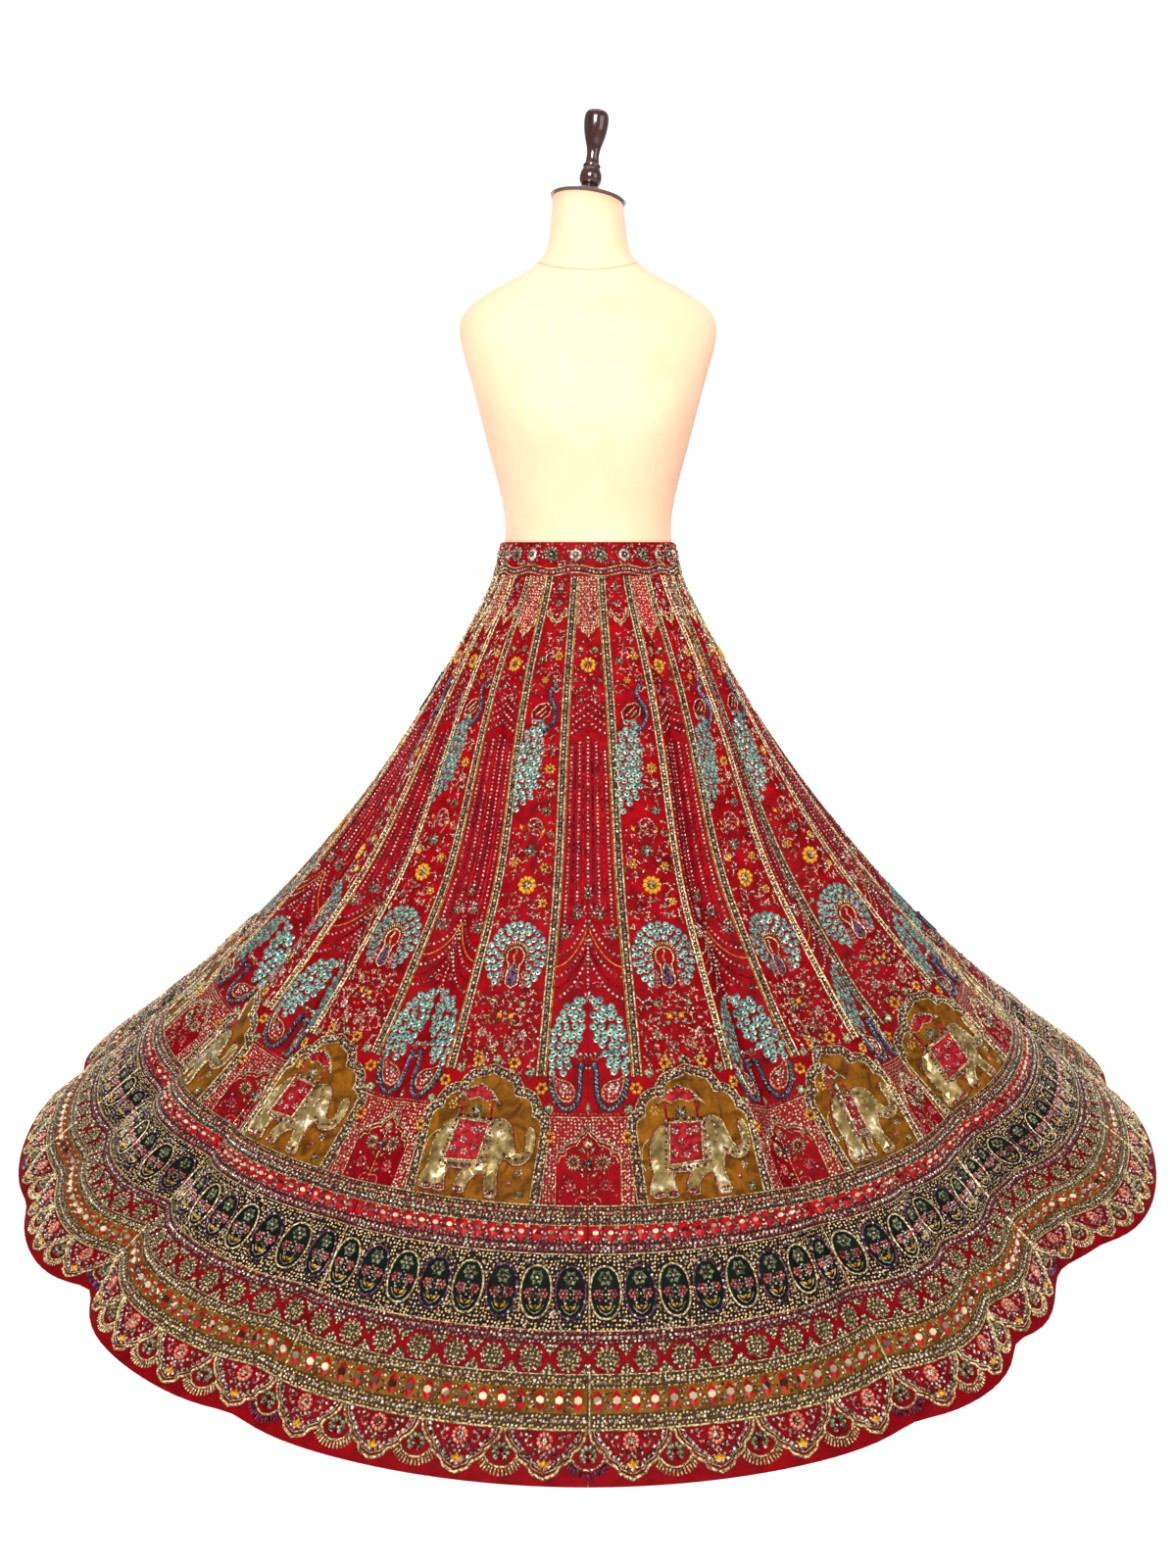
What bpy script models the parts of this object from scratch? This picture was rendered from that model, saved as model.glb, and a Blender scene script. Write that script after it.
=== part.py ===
"""Lehenga skirt, a south asian bridal dress, standing on a limbless dress form.

Run with: blender --background --python part.py   (metres, +Z up, the front faces -Y)

The skirt is cut as sixteen flared panels, called kalis, sewn edge to edge round the body and
hung from a stiff waistband. The panels are bent from flat slabs: a rule gives the place of each
point of the cloth from how far round the skirt it lies, and how far down the cloth it is.
"""

import math

import bmesh
import bpy
import numpy as np
from mathutils import Vector

# ---------------------------------------------------------------- driving sizes, in metres
WAIST_HEIGHT = 0.794        # top edge of the waistband above the floor
WAIST_HALF_WIDTH = 0.1215   # outside of the band, side to side
WAIST_HALF_DEPTH = 0.1035   # outside of the band, front to back
CLOTH_LENGTH = 1.06         # from the top of the waistband to the hem, along the cloth
BAND_HEIGHT = 0.0333
CLOTH_WALL = 0.0026         # velvet, its embroidery and its lining
BAND_WALL = 0.003
SEAM_GAP = 0.0003
PANELS = 16
PANEL_COLUMNS = 8

# How the cloth leans out from upright, at places down its length.
LEAN = (
    # along   degrees
    (0.000, 10.0),
    (0.035, 16.0),
    (0.075, 30.5),
    (0.210, 33.5),
    (0.420, 38.5),
    (0.640, 44.5),
    (0.850, 50.5),
    (1.060, 55.5),
)

# Under the band the panels lie wide at the front and back, and are gathered in at the sides.
GATHER = 0.38               # how much wider than an even share the front and back panels are
GATHER_FADES = (0.12, 0.50)  # places down the cloth between which the panels even out

# Folds: each is a valley that runs down the cloth. Angles are round the skirt in degrees, with 0
# at the front and 90 at +X, as they are where the panels are even. The width is half of the
# valley's, and the depths are at the fold stations down the cloth.
FOLDS = (
    # name              top     hem   width  upper  middle    hem
    ("front_left",     -22.5,  -25.0,   5.0, 0.006, 0.016, 0.010),
    ("left_one",       -44.0,  -45.0,   6.0, 0.012, 0.026, 0.034),
    ("left_two",       -64.0,  -61.0,   6.5, 0.018, 0.038, 0.012),
    ("left_side",      -88.0,  -87.0,   6.0, 0.014, 0.030, 0.026),
    ("front_right",     22.5,   22.5,   5.0, 0.018, 0.040, 0.010),
    ("right_notch",     31.0,   35.0,   5.0, 0.000, 0.026, 0.022),
    ("right_bay",       45.0,   46.0,  14.0, 0.004, 0.020, 0.066),
    ("right_dark",      47.0,   52.0,   5.0, 0.020, 0.040, 0.010),
    ("right_side",      80.0,   84.0,   6.0, 0.012, 0.030, 0.020),
    ("back_right_one", 101.0,  104.0,   6.5, 0.016, 0.036, 0.032),
    ("back_right_two", 122.0,  124.0,   7.0, 0.012, 0.030, 0.022),
    ("back_right_inn", 146.0,  147.0,   6.0, 0.018, 0.040, 0.036),
    ("back_middle",    168.0,  171.0,   7.0, 0.014, 0.030, 0.020),
    ("back_left_inn", -168.0, -166.0,   6.5, 0.018, 0.036, 0.032),
    ("back_left_two", -143.0, -144.0,   7.0, 0.012, 0.030, 0.022),
    ("back_left_one", -116.0, -114.0,   6.0, 0.016, 0.040, 0.034),
)
FOLD_STATIONS = (0.04, 0.265, 0.64, 1.06)
FOLD_FALL = 2.2             # how fast a valley dies away to its sides
FOLD_ROUNDING = 0.245       # how round its bottom is, as a share of its half width
LEVEL_FROM = 0.74           # below this place the folds push level, so that the hem stays flat
OVAL_UNTIL = 0.45           # above this place the skirt is oval like the waist

# Rows of points down a panel, below its top edge; the border's rows lie on its bands' edges.
PANEL_ROWS = (0.080, 0.155, 0.240, 0.335, 0.430, 0.525, 0.615, 0.695, 0.755, 0.824,
              0.868, 0.878, 0.926, 0.936, 0.994, CLOTH_LENGTH)

# Embroidery thick enough to feel as a step: raised fields of the outer side.
RAISED = (
    # name            from    to     columns   height
    ("elephant",     0.695, 0.824,  (3, 5),   0.0025),
    ("oval_band",    0.868, 0.936,  (0, 8),   0.0010),
)

# The dress form, from the board under its hips to the top of its neck. Heights are above the
# waist; forward is how far the section's middle lies towards the front.
FORM_SECTIONS = (
    # height  half_width half_depth forward
    (-0.300,  0.146,     0.108,     0.000),
    (-0.292,  0.152,     0.114,     0.000),
    (-0.240,  0.162,     0.121,     0.000),
    (-0.170,  0.163,     0.122,     0.000),
    (-0.100,  0.143,     0.112,     0.000),
    (-0.055,  0.125,     0.1035,    0.000),
)
FORM_UPPER_SECTIONS = (
    ( 0.022,  0.1165,    0.0990,    0.000),
    ( 0.060,  0.1205,    0.1000,    0.002),
    ( 0.110,  0.1340,    0.1060,    0.009),
    ( 0.160,  0.1460,    0.1130,    0.013),
    ( 0.210,  0.1590,    0.1080,    0.008),
    ( 0.255,  0.1730,    0.0960,    0.000),
    ( 0.286,  0.1790,    0.0830,   -0.004),
    ( 0.308,  0.1690,    0.0750,   -0.006),
    ( 0.326,  0.1420,    0.0710,   -0.006),
    ( 0.342,  0.1080,    0.0670,   -0.005),
    ( 0.358,  0.0760,    0.0620,   -0.003),
    ( 0.374,  0.0575,    0.0560,   -0.001),
    ( 0.400,  0.0515,    0.0515,    0.002),
    ( 0.440,  0.0480,    0.0490,    0.004),
)
FORM_SIDES = 40
FORM_CLEARANCE = 0.0004     # between the form's waist and the band that sits on it
BUST_HEIGHT = 0.160
BUST_ANGLE = 38.0
BUST_RISE = 0.014
BUST_SPREAD = 24.0          # degrees from the bust's middle to where its swell has mostly died away
BUST_REACH = 0.042          # the same, up and down

NECK_TILT = 6.5             # the neck's top is cut on a slant, which its cap and finial follow
CAP_RADIUS = 0.0515
CAP_THICKNESS = 0.014
POLE_RADIUS = 0.0175
BASE_RADIUS = 0.170
BASE_THICKNESS = 0.016
BOSS_HEIGHT = 0.055

CLOSURE_ANGLE = -90.0       # the side seam where the skirt fastens
TAB_WIDTH = 0.046
TAB_MARGIN = 0.004
TAB_WALL = 0.0018
SNAP_RADIUS = 0.0045
SNAP_THICKNESS = 0.0014
SNAP_TAPER = 0.8            # the cap's outer face, as a share of its inner one
SNAP_SPREAD = 0.5           # how far out the snaps sit, as a share of half the tab
SMOOTH_ANGLE = 40.0         # edges flatter than this are shaded smooth


# ---------------------------------------------------------------- the cloth's rule
def smooth_step(low, high, value):
    t = np.clip((np.asarray(value, float) - low) / (high - low), 0.0, 1.0)
    return t * t * (3.0 - 2.0 * t)


def lean_profile(steps=530):
    """How far out and how far down the cloth is, at even steps along its length."""
    along = np.linspace(0.0, CLOTH_LENGTH, steps + 1)
    lean = np.radians(np.interp(along, [row[0] for row in LEAN], [row[1] for row in LEAN]))
    middle = (lean[1:] + lean[:-1]) / 2.0
    step = CLOTH_LENGTH / steps
    out = np.concatenate(([0.0], np.cumsum(np.sin(middle) * step)))
    down = np.concatenate(([0.0], np.cumsum(np.cos(middle) * step)))
    return along, out, down, lean


ALONG, OUT, DOWN, LEAN_ANGLE = lean_profile()


def gathered(angle, along):
    """Where a direction round the even skirt lies at a place down the gathered one, in degrees."""
    share = GATHER * (1.0 - smooth_step(*GATHER_FADES, along))
    return angle + np.degrees(share / 2.0 * np.sin(2.0 * np.radians(angle)))


def fold_depth(angle, along):
    """How far the folds draw the cloth inwards at an angle in degrees and a place down the cloth."""
    depth = np.zeros(np.broadcast(angle, along).shape)
    for _name, top, hem, width, upper, middle, at_hem in FOLDS:
        centre = gathered(top + (hem - top) * along / CLOTH_LENGTH, along)
        away = (angle - centre + 180.0) % 360.0 - 180.0
        spread = np.hypot(away / width, FOLD_ROUNDING) - FOLD_ROUNDING
        shape = np.exp(-FOLD_FALL * spread)
        reach = np.interp(along, FOLD_STATIONS, (0.0, upper, middle, at_hem))
        depth = depth + shape * reach
    return depth


def cloth_point(angle, along):
    """The outer side of the cloth, as points of three coordinates."""
    angle, along = np.broadcast_arrays(np.asarray(angle, float), np.asarray(along, float))
    out = np.interp(along, ALONG, OUT)
    height = WAIST_HEIGHT - np.interp(along, ALONG, DOWN)
    lean = np.interp(along, ALONG, LEAN_ANGLE)
    oval = 1.0 - smooth_step(0.0, OVAL_UNTIL, along)
    round_radius = (WAIST_HALF_WIDTH + WAIST_HALF_DEPTH) / 2.0
    difference = (WAIST_HALF_WIDTH - WAIST_HALF_DEPTH) / 2.0 * oval
    # Folds push square to the cloth, but level near the hem, which stays on the floor.
    level = smooth_step(LEVEL_FROM, CLOTH_LENGTH, along)
    push = lean * (1.0 - level)
    depth = fold_depth(angle, along)
    across = out - depth * np.cos(push)
    turn = np.radians(angle)
    x = (round_radius + difference + across) * np.sin(turn)
    y = -(round_radius - difference + across) * np.cos(turn)
    z = height - depth * np.sin(push)
    # The lean's table leaves the hem a little off the floor: the length takes that up evenly.
    floor_miss = WAIST_HEIGHT - DOWN[-1]
    return np.stack([x, y, z - floor_miss * along / CLOTH_LENGTH], axis=-1)


def cloth_normal(angle, along):
    """The direction that points out of the cloth, level at the hem."""
    turn, step = 0.2, 0.001
    top = np.clip(np.asarray(along) - step, 0.0, CLOTH_LENGTH)
    low = np.clip(np.asarray(along) + step, 0.0, CLOTH_LENGTH)
    round_way = cloth_point(angle + turn, along) - cloth_point(angle - turn, along)
    down_way = cloth_point(angle, low) - cloth_point(angle, top)
    normal = np.cross(down_way, round_way)
    return normal / np.linalg.norm(normal, axis=-1, keepdims=True)


def panel_angles(number, along, count=181):
    """The way from a share of a panel's width to an angle, and that width, at a place down it."""
    start, end = (gathered(360.0 / PANELS * seam, along) for seam in (number, number + 1))
    angle = np.linspace(start, end, count)
    points = cloth_point(angle, np.full(count, along))
    steps = np.linalg.norm(np.diff(points, axis=0), axis=1)
    length = np.concatenate(([0.0], np.cumsum(steps)))

    def at(share):
        return np.interp(share * length[-1], length, angle)

    return at, length[-1]


# ---------------------------------------------------------------- objects and materials
def clear_scene():
    for old in list(bpy.data.objects):
        bpy.data.objects.remove(old, do_unlink=True)


def material(name, colour, roughness, metallic=0.0):
    made = bpy.data.materials.new(name)
    made.use_nodes = True
    shader = made.node_tree.nodes["Principled BSDF"]
    shader.inputs["Base Color"].default_value = (*colour, 1.0)
    shader.inputs["Roughness"].default_value = roughness
    shader.inputs["Metallic"].default_value = metallic
    made.diffuse_color = (*colour, 1.0)
    return made


def add_object(name, bm, collection, finish):
    """A mesh object from a bmesh, with its faces pointing outwards."""
    bmesh.ops.recalc_face_normals(bm, faces=bm.faces)
    if bm.calc_volume(signed=True) < 0.0:
        bmesh.ops.reverse_faces(bm, faces=bm.faces)
    mesh = bpy.data.meshes.new(name)
    bm.to_mesh(mesh)
    bm.free()
    mesh.shade_smooth()
    mesh.set_sharp_from_angle(angle=math.radians(SMOOTH_ANGLE))
    mesh.materials.append(finish)
    made = bpy.data.objects.new(name, mesh)
    collection.objects.link(made)
    return made


def flat_slab(columns, rows):
    """A closed flat slab of one square by one square, with unit thickness, cut into a grid."""
    bm = bmesh.new()
    bmesh.ops.create_grid(bm, x_segments=columns, y_segments=rows, size=0.5)
    bmesh.ops.translate(bm, verts=bm.verts, vec=(0.5, 0.5, 0.0))
    top = list(bm.faces)
    grown = bmesh.ops.extrude_face_region(bm, geom=top, use_keep_orig=True)
    lower = [item for item in grown["geom"] if isinstance(item, bmesh.types.BMVert)]
    bmesh.ops.translate(bm, verts=lower, vec=(0.0, 0.0, -1.0))
    return bm


# ---------------------------------------------------------------- the sixteen panels
def raise_of(along, column):
    """How far the embroidery stands up at a grid point of a panel."""
    for _name, start, end, (first, last), height in RAISED:
        if start < along < end and first <= column <= last:
            return height
    return 0.0


def make_panel(number, collection, finish):
    """One kali: a slab whose columns run round the skirt and whose rows run down it."""
    rows = (BAND_HEIGHT + SEAM_GAP,) + PANEL_ROWS
    bm = flat_slab(PANEL_COLUMNS, len(rows) - 1)
    guides = [panel_angles(number, along) for along in rows]
    sides = {}
    for vert in bm.verts:
        column = round(vert.co.x * PANEL_COLUMNS)
        row = round((1.0 - vert.co.y) * (len(rows) - 1))
        along = rows[row]
        angle_at, panel_width = guides[row]
        share = column / PANEL_COLUMNS
        inset = SEAM_GAP / 2.0 / panel_width * ((column == 0) - (column == PANEL_COLUMNS))
        normal = cloth_normal(angle_at(share), along)
        place = cloth_point(angle_at(share + inset), along)
        if vert.co.z < -0.5:
            wall = CLOTH_WALL
            if row == len(rows) - 1:
                # At the hem the wall is cut level, to stand flat on the floor.
                normal = normal * (1.0, 1.0, 0.0)
                wall = CLOTH_WALL / float(np.linalg.norm(normal))
                normal = normal / np.linalg.norm(normal)
            place = place - normal * wall
        else:
            place = place + normal * raise_of(along, column)
        if column in (0, PANEL_COLUMNS):
            sides[(column, row, vert.co.z < -0.5)] = vert
        vert.co = place
    # Both walls of a seam are cut along the same diagonal, so that they lie against each other.
    for column in (0, PANEL_COLUMNS):
        for row in range(len(rows) - 1):
            pair = [sides[(column, row, False)], sides[(column, row + 1, True)]]
            bmesh.ops.connect_verts(bm, verts=pair)
    return add_object(f"kali_{number + 1:02d}", bm, collection, finish)


# ---------------------------------------------------------------- waistband and its fastening
def bent_strip(name, start, end, top, low, inner, outer, columns, rows, collection, finish):
    """A strip of the band's cloth between two angles, from one offset of its wall to another."""
    bm = flat_slab(columns, rows)
    for vert in bm.verts:
        angle = start + (end - start) * vert.co.x
        along = low + (top - low) * vert.co.y
        offset = outer if vert.co.z > -0.5 else inner
        vert.co = cloth_point(angle, along) + cloth_normal(angle, along) * offset
    return add_object(name, bm, collection, finish)


def make_waistband(collection, finish):
    """The band runs once round the waist, and its two ends meet at the closure."""
    half_gap = math.degrees(SEAM_GAP / 2.0 / WAIST_HALF_WIDTH)
    return bent_strip("waistband", CLOSURE_ANGLE + half_gap, CLOSURE_ANGLE + 360.0 - half_gap,
                      0.0, BAND_HEIGHT, -BAND_WALL, 0.0, FORM_SIDES, 2, collection, finish)


def make_closure(collection, cloth, metal):
    """A tab laps over the band's two ends and is held by two flat snaps."""
    half = math.degrees(TAB_WIDTH / 2.0 / WAIST_HALF_DEPTH)
    outer = SEAM_GAP + TAB_WALL
    along = BAND_HEIGHT / 2.0
    bent_strip("closure_tab", CLOSURE_ANGLE - half, CLOSURE_ANGLE + half, TAB_MARGIN,
               BAND_HEIGHT - TAB_MARGIN, SEAM_GAP, outer, 6, 1, collection, cloth)
    for side in (-1, 1):
        angle = CLOSURE_ANGLE + side * half * SNAP_SPREAD
        normal = cloth_normal(angle, along)
        bm = bmesh.new()
        bmesh.ops.create_cone(bm, cap_ends=True, segments=16, radius1=SNAP_RADIUS,
                              radius2=SNAP_RADIUS * SNAP_TAPER, depth=SNAP_THICKNESS)
        made = add_object("closure_snap_back" if side < 0 else "closure_snap_front",
                          bm, collection, metal)
        lift = outer + SEAM_GAP + SNAP_THICKNESS / 2.0
        made.location = cloth_point(angle, along) + normal * lift
        made.rotation_mode = "QUATERNION"
        made.rotation_quaternion = Vector(normal).to_track_quat("Z", "Y")


# ---------------------------------------------------------------- the dress form
def form_rows():
    """All of the form's sections, with those under the waistband taken from the band's inside."""
    rows = list(FORM_SECTIONS)
    for along in (BAND_HEIGHT + 0.002, BAND_HEIGHT / 2.0, 0.0):
        side = cloth_point(90.0, along) - cloth_normal(90.0, along) * (BAND_WALL + FORM_CLEARANCE)
        front = cloth_point(0.0, along) - cloth_normal(0.0, along) * (BAND_WALL + FORM_CLEARANCE)
        rows.append((float(side[2]) - WAIST_HEIGHT, float(side[0]), float(-front[1]), 0.0))
    return rows + list(FORM_UPPER_SECTIONS)


def bust_rise(turn, height):
    """The soft swell of the form's bust, on both sides of the front."""
    level = math.exp(-((height - BUST_HEIGHT) / BUST_REACH) ** 2)
    sides = [((math.degrees(turn) - side * BUST_ANGLE + 180.0) % 360.0 - 180.0) / BUST_SPREAD
             for side in (-1, 1)]
    return BUST_RISE * level * sum(math.exp(-away ** 2) for away in sides)


def make_form(collection, finish):
    """The torso: a ring for each section, bridged, with a board at the bottom and a flat neck."""
    bm = bmesh.new()
    rings = []
    for height, half_width, half_depth, forward in form_rows():
        ring = bmesh.ops.create_circle(bm, cap_ends=False, segments=FORM_SIDES, radius=1.0)["verts"]
        for index, vert in enumerate(ring):
            turn = 2.0 * math.pi * index / FORM_SIDES
            swell = bust_rise(turn, height)
            vert.co = ((half_width + swell) * math.sin(turn),
                       -(half_depth + swell) * math.cos(turn) - forward,
                       WAIST_HEIGHT + height)
        edges = {edge for vert in ring for edge in vert.link_edges}
        rings.append(list(edges))
    slope = math.tan(math.radians(NECK_TILT))
    for edge_end in {vert for edge in rings[-1] for vert in edge.verts}:
        edge_end.co.z -= slope * edge_end.co.x
    for lower, upper in zip(rings, rings[1:]):
        bmesh.ops.bridge_loops(bm, edges=lower + upper)
    for end in (rings[0], rings[-1]):
        bmesh.ops.contextual_create(bm, geom=end)
    return add_object("form_torso", bm, collection, finish)


def turned(name, profile, place, collection, finish, steps, tilt=0.0):
    """A turned piece: a profile of radius and height, top to bottom, with a Screw modifier."""
    bm = bmesh.new()
    verts = [bm.verts.new((radius, 0.0, height)) for radius, height in profile]
    for first, second in zip(verts, verts[1:]):
        bm.edges.new((first, second))
    mesh = bpy.data.meshes.new(name)
    bm.to_mesh(mesh)
    bm.free()
    mesh.materials.append(finish)
    made = bpy.data.objects.new(name, mesh)
    collection.objects.link(made)
    made.location = place
    made.rotation_euler = (0.0, math.radians(tilt), 0.0)
    screw = made.modifiers.new("turned", "SCREW")
    screw.steps = steps
    screw.render_steps = steps
    screw.use_merge_vertices = True
    screw.merge_threshold = 0.0001
    screw.use_smooth_shade = True
    return made


def on_neck(lift):
    """A place on the neck's slanted axis, at a distance above the neck's top."""
    neck_height, _half_width, _half_depth, neck_forward = FORM_UPPER_SECTIONS[-1]
    tilt = math.radians(NECK_TILT)
    return (lift * math.sin(tilt), -neck_forward, WAIST_HEIGHT + neck_height + lift * math.cos(tilt))


def make_neck_cap(collection, wood):
    """A thin turned disc with a soft rim and one raised step."""
    step = 0.45 * CAP_THICKNESS
    cap = ((0.0, CAP_THICKNESS), (0.021, CAP_THICKNESS), (0.0245, 0.85 * CAP_THICKNESS),
           (0.028, step + 0.001), (0.031, step), (CAP_RADIUS - 0.004, 0.0048),
           (CAP_RADIUS, 0.0028), (CAP_RADIUS - 0.001, 0.0008), (CAP_RADIUS - 0.004, 0.0),
           (0.0, 0.0))
    turned("neck_cap", cap, on_neck(SEAM_GAP), collection, wood, 28, NECK_TILT)


def make_finial(collection, wood):
    """A turned handle: a long bulb over a narrow neck, and a ball on a short foot."""
    finial = ((0.0, 0.0960), (0.0090, 0.0960), (0.0145, 0.0935), (0.0166, 0.0880),
              (0.0168, 0.0800), (0.0152, 0.0690), (0.0118, 0.0575), (0.0092, 0.0500),
              (0.0086, 0.0420), (0.0096, 0.0330), (0.0112, 0.0265), (0.0140, 0.0210),
              (0.0152, 0.0150), (0.0142, 0.0085), (0.0118, 0.0045), (0.0115, 0.0),
              (0.0, 0.0))
    lift = CAP_THICKNESS + 2.0 * SEAM_GAP
    turned("finial", finial, on_neck(lift), collection, wood, 16, NECK_TILT)


def make_stand(collection, wood, metal):
    """A round base with a turned boss, and the pole that carries the form."""
    top = BASE_THICKNESS + BOSS_HEIGHT
    base = ((0.0, top), (0.026, top), (0.030, top - 0.004), (0.031, top - 0.030),
            (0.040, BASE_THICKNESS + 0.008), (0.060, BASE_THICKNESS + 0.001),
            (BASE_RADIUS - 0.006, BASE_THICKNESS), (BASE_RADIUS, BASE_THICKNESS - 0.005),
            (BASE_RADIUS, 0.0), (0.0, 0.0))
    turned("stand_base", base, (0.0, 0.0, 0.0), collection, wood, 32)
    low = top + SEAM_GAP
    high = WAIST_HEIGHT + FORM_SECTIONS[0][0] - SEAM_GAP
    bpy.ops.mesh.primitive_cylinder_add(vertices=20, radius=POLE_RADIUS, depth=high - low,
                                        location=(0.0, 0.0, (high + low) / 2.0))
    pole = bpy.context.object
    pole.name = "stand_pole"
    pole.data.name = "stand_pole"
    pole.data.materials.append(metal)
    pole.data.shade_smooth()
    pole.data.set_sharp_from_angle(angle=math.radians(SMOOTH_ANGLE))
    for holder in list(pole.users_collection):
        holder.objects.unlink(pole)
    collection.objects.link(pole)


def build():
    clear_scene()
    collection = bpy.data.collections.new("lehenga_skirt")
    bpy.context.scene.collection.children.link(collection)
    velvet = material("red_velvet", (0.55, 0.008, 0.012), 0.75)
    band_cloth = material("band_cloth", (0.45, 0.02, 0.02), 0.7)
    snap_metal = material("snap_metal", (0.75, 0.62, 0.38), 0.35, 1.0)
    linen = material("form_linen", (0.82, 0.72, 0.56), 0.8)
    dark_wood = material("dark_wood", (0.045, 0.012, 0.008), 0.25)
    steel = material("pole_steel", (0.55, 0.55, 0.56), 0.35, 1.0)
    for number in range(PANELS):
        make_panel(number, collection, velvet)
    make_waistband(collection, band_cloth)
    make_closure(collection, band_cloth, snap_metal)
    make_form(collection, linen)
    make_neck_cap(collection, dark_wood)
    make_finial(collection, dark_wood)
    make_stand(collection, dark_wood, steel)


build()
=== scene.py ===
"""The looks of a bridal lehenga skirt, shown on a limbless dress form.

Metres, +Z up, the front faces -Y. The skirt is sixteen velvet panels, called kalis, under a
stiff waistband, covered with zardozi: metal cord, beads, sequins and mirrors sewn by hand.
"""

import math

import bmesh
import bpy
import numpy as np
from mathutils import Matrix, Vector


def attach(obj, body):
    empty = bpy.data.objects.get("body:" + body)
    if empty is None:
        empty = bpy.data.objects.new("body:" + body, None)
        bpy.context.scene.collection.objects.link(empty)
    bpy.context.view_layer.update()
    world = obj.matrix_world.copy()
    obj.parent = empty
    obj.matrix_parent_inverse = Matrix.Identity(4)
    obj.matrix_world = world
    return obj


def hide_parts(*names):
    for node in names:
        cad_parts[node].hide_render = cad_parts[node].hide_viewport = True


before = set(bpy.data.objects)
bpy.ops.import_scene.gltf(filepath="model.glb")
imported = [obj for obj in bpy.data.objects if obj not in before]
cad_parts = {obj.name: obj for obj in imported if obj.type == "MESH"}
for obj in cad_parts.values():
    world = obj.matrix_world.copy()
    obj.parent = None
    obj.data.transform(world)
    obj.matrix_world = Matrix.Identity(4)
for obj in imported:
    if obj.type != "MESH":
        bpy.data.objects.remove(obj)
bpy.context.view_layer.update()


# ---------------------------------------------------------------- the stand, cap and finial
# Turned mahogany, stained nearly black and lacquered: a round foot with a boss, the cap that
# closes the neck, and the handle screwed into it. A brushed steel pole joins foot and form.
LATHE_STEPS = 64
NECK_TOP = Vector((0.0, -0.004, 1.234))
NECK_TILT = math.radians(6.5)
CAP_LIFT, FINIAL_LIFT = 0.0003, 0.0146
# The profiles: radius and height from the top down, in tenths of a millimetre.
CAP = ((0, 140), (205, 140), (225, 136), (245, 121), (262, 85), (285, 70), (320, 66), (440, 56),
       (490, 46), (510, 34), (515, 24), (506, 10), (475, 2), (0, 0))
FINIAL = ((0, 960), (60, 960), (105, 952), (142, 932), (162, 895), (168, 845), (166, 785),
          (156, 710), (140, 640), (120, 575), (102, 525), (91, 475), (86, 420), (90, 360),
          (98, 318), (118, 303), (121, 283), (113, 262), (128, 238), (146, 196), (152, 150),
          (146, 104), (128, 66), (112, 46), (126, 26), (126, 0), (0, 0))
BASE = ((0, 710), (255, 710), (290, 698), (300, 665), (302, 560), (306, 420), (335, 310),
        (400, 240), (480, 200), (600, 170), (1600, 160), (1665, 152), (1695, 130), (1700, 100),
        (1700, 0), (0, 0))
POLE = ((0, 4937), (175, 4937), (175, 713), (0, 713))


def material(name, colour, roughness, metallic=0.0, **sockets):
    """A new material, and the tree and Principled shader that its details are wired into."""
    made = bpy.data.materials.new(name)
    made.use_nodes = True
    made.diffuse_color = (*colour, 1.0)
    shader = made.node_tree.nodes["Principled BSDF"]
    sockets.update(Base_Color=(*colour, 1.0), Roughness=roughness, Metallic=metallic)
    for socket, value in sockets.items():
        shader.inputs[socket.replace("_", " ")].default_value = value
    return made, made.node_tree, shader


def wire(tree, end, **sockets):
    """Links outputs to the sockets of a shader or of a group's end."""
    for socket, output in sockets.items():
        tree.links.new(output, end.inputs[socket.replace("_", " ")])


def node(tree, kind, settings=(), **inputs):
    """A node with its settings; each input is a value, or a socket that is linked to it."""
    made = tree.nodes.new("ShaderNode" + kind)
    for key, value in dict(settings).items():
        setattr(made, key, value)
    for key, value in inputs.items():
        number = key[1:]
        socket = made.inputs[int(number) if number.isdigit() else key.replace("_", " ")]
        if isinstance(value, bpy.types.NodeSocket):
            tree.links.new(value, socket)
        else:
            socket.default_value = value
    return made


def object_place(tree):
    return node(tree, "TexCoord").outputs["Object"]


def noise(tree, place, scale, detail=2.0, **inputs):
    return node(tree, "TexNoise", Vector=place, Scale=scale, Detail=detail, **inputs).outputs["Fac"]


def calc(tree, operation, first, second=0.0, third=0.0):
    return node(tree, "Math", {"operation": operation}, _0=first, _1=second, _2=third).outputs[0]


def mix(tree, mask, first, second):
    """Two colours, one over the other by a mask."""
    first, second = ((*c, 1.0) if isinstance(c, tuple) else c for c in (first, second))
    return node(tree, "Mix", {"data_type": "RGBA"}, _0=mask, _6=first, _7=second).outputs[2]


def ramp(tree, value, *stops):
    """A colour ramp through (place, colour) stops."""
    made = node(tree, "ValToRGB", Fac=value)
    band = made.color_ramp
    while len(band.elements) < len(stops):
        band.elements.new(1.0)
    for element, (place, colour) in zip(band.elements, stops):
        element.position = place
        element.color = (*colour, 1.0)
    return made.outputs["Color"]


def bump(tree, height, distance, strength):
    return node(tree, "Bump", Height=height, Distance=distance, Strength=strength).outputs["Normal"]


def outwards(bm):
    """Turns every face of a closed body outwards."""
    bmesh.ops.recalc_face_normals(bm, faces=bm.faces)
    if bm.calc_volume(signed=True) < 0.0:
        bmesh.ops.reverse_faces(bm, faces=bm.faces)


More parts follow.
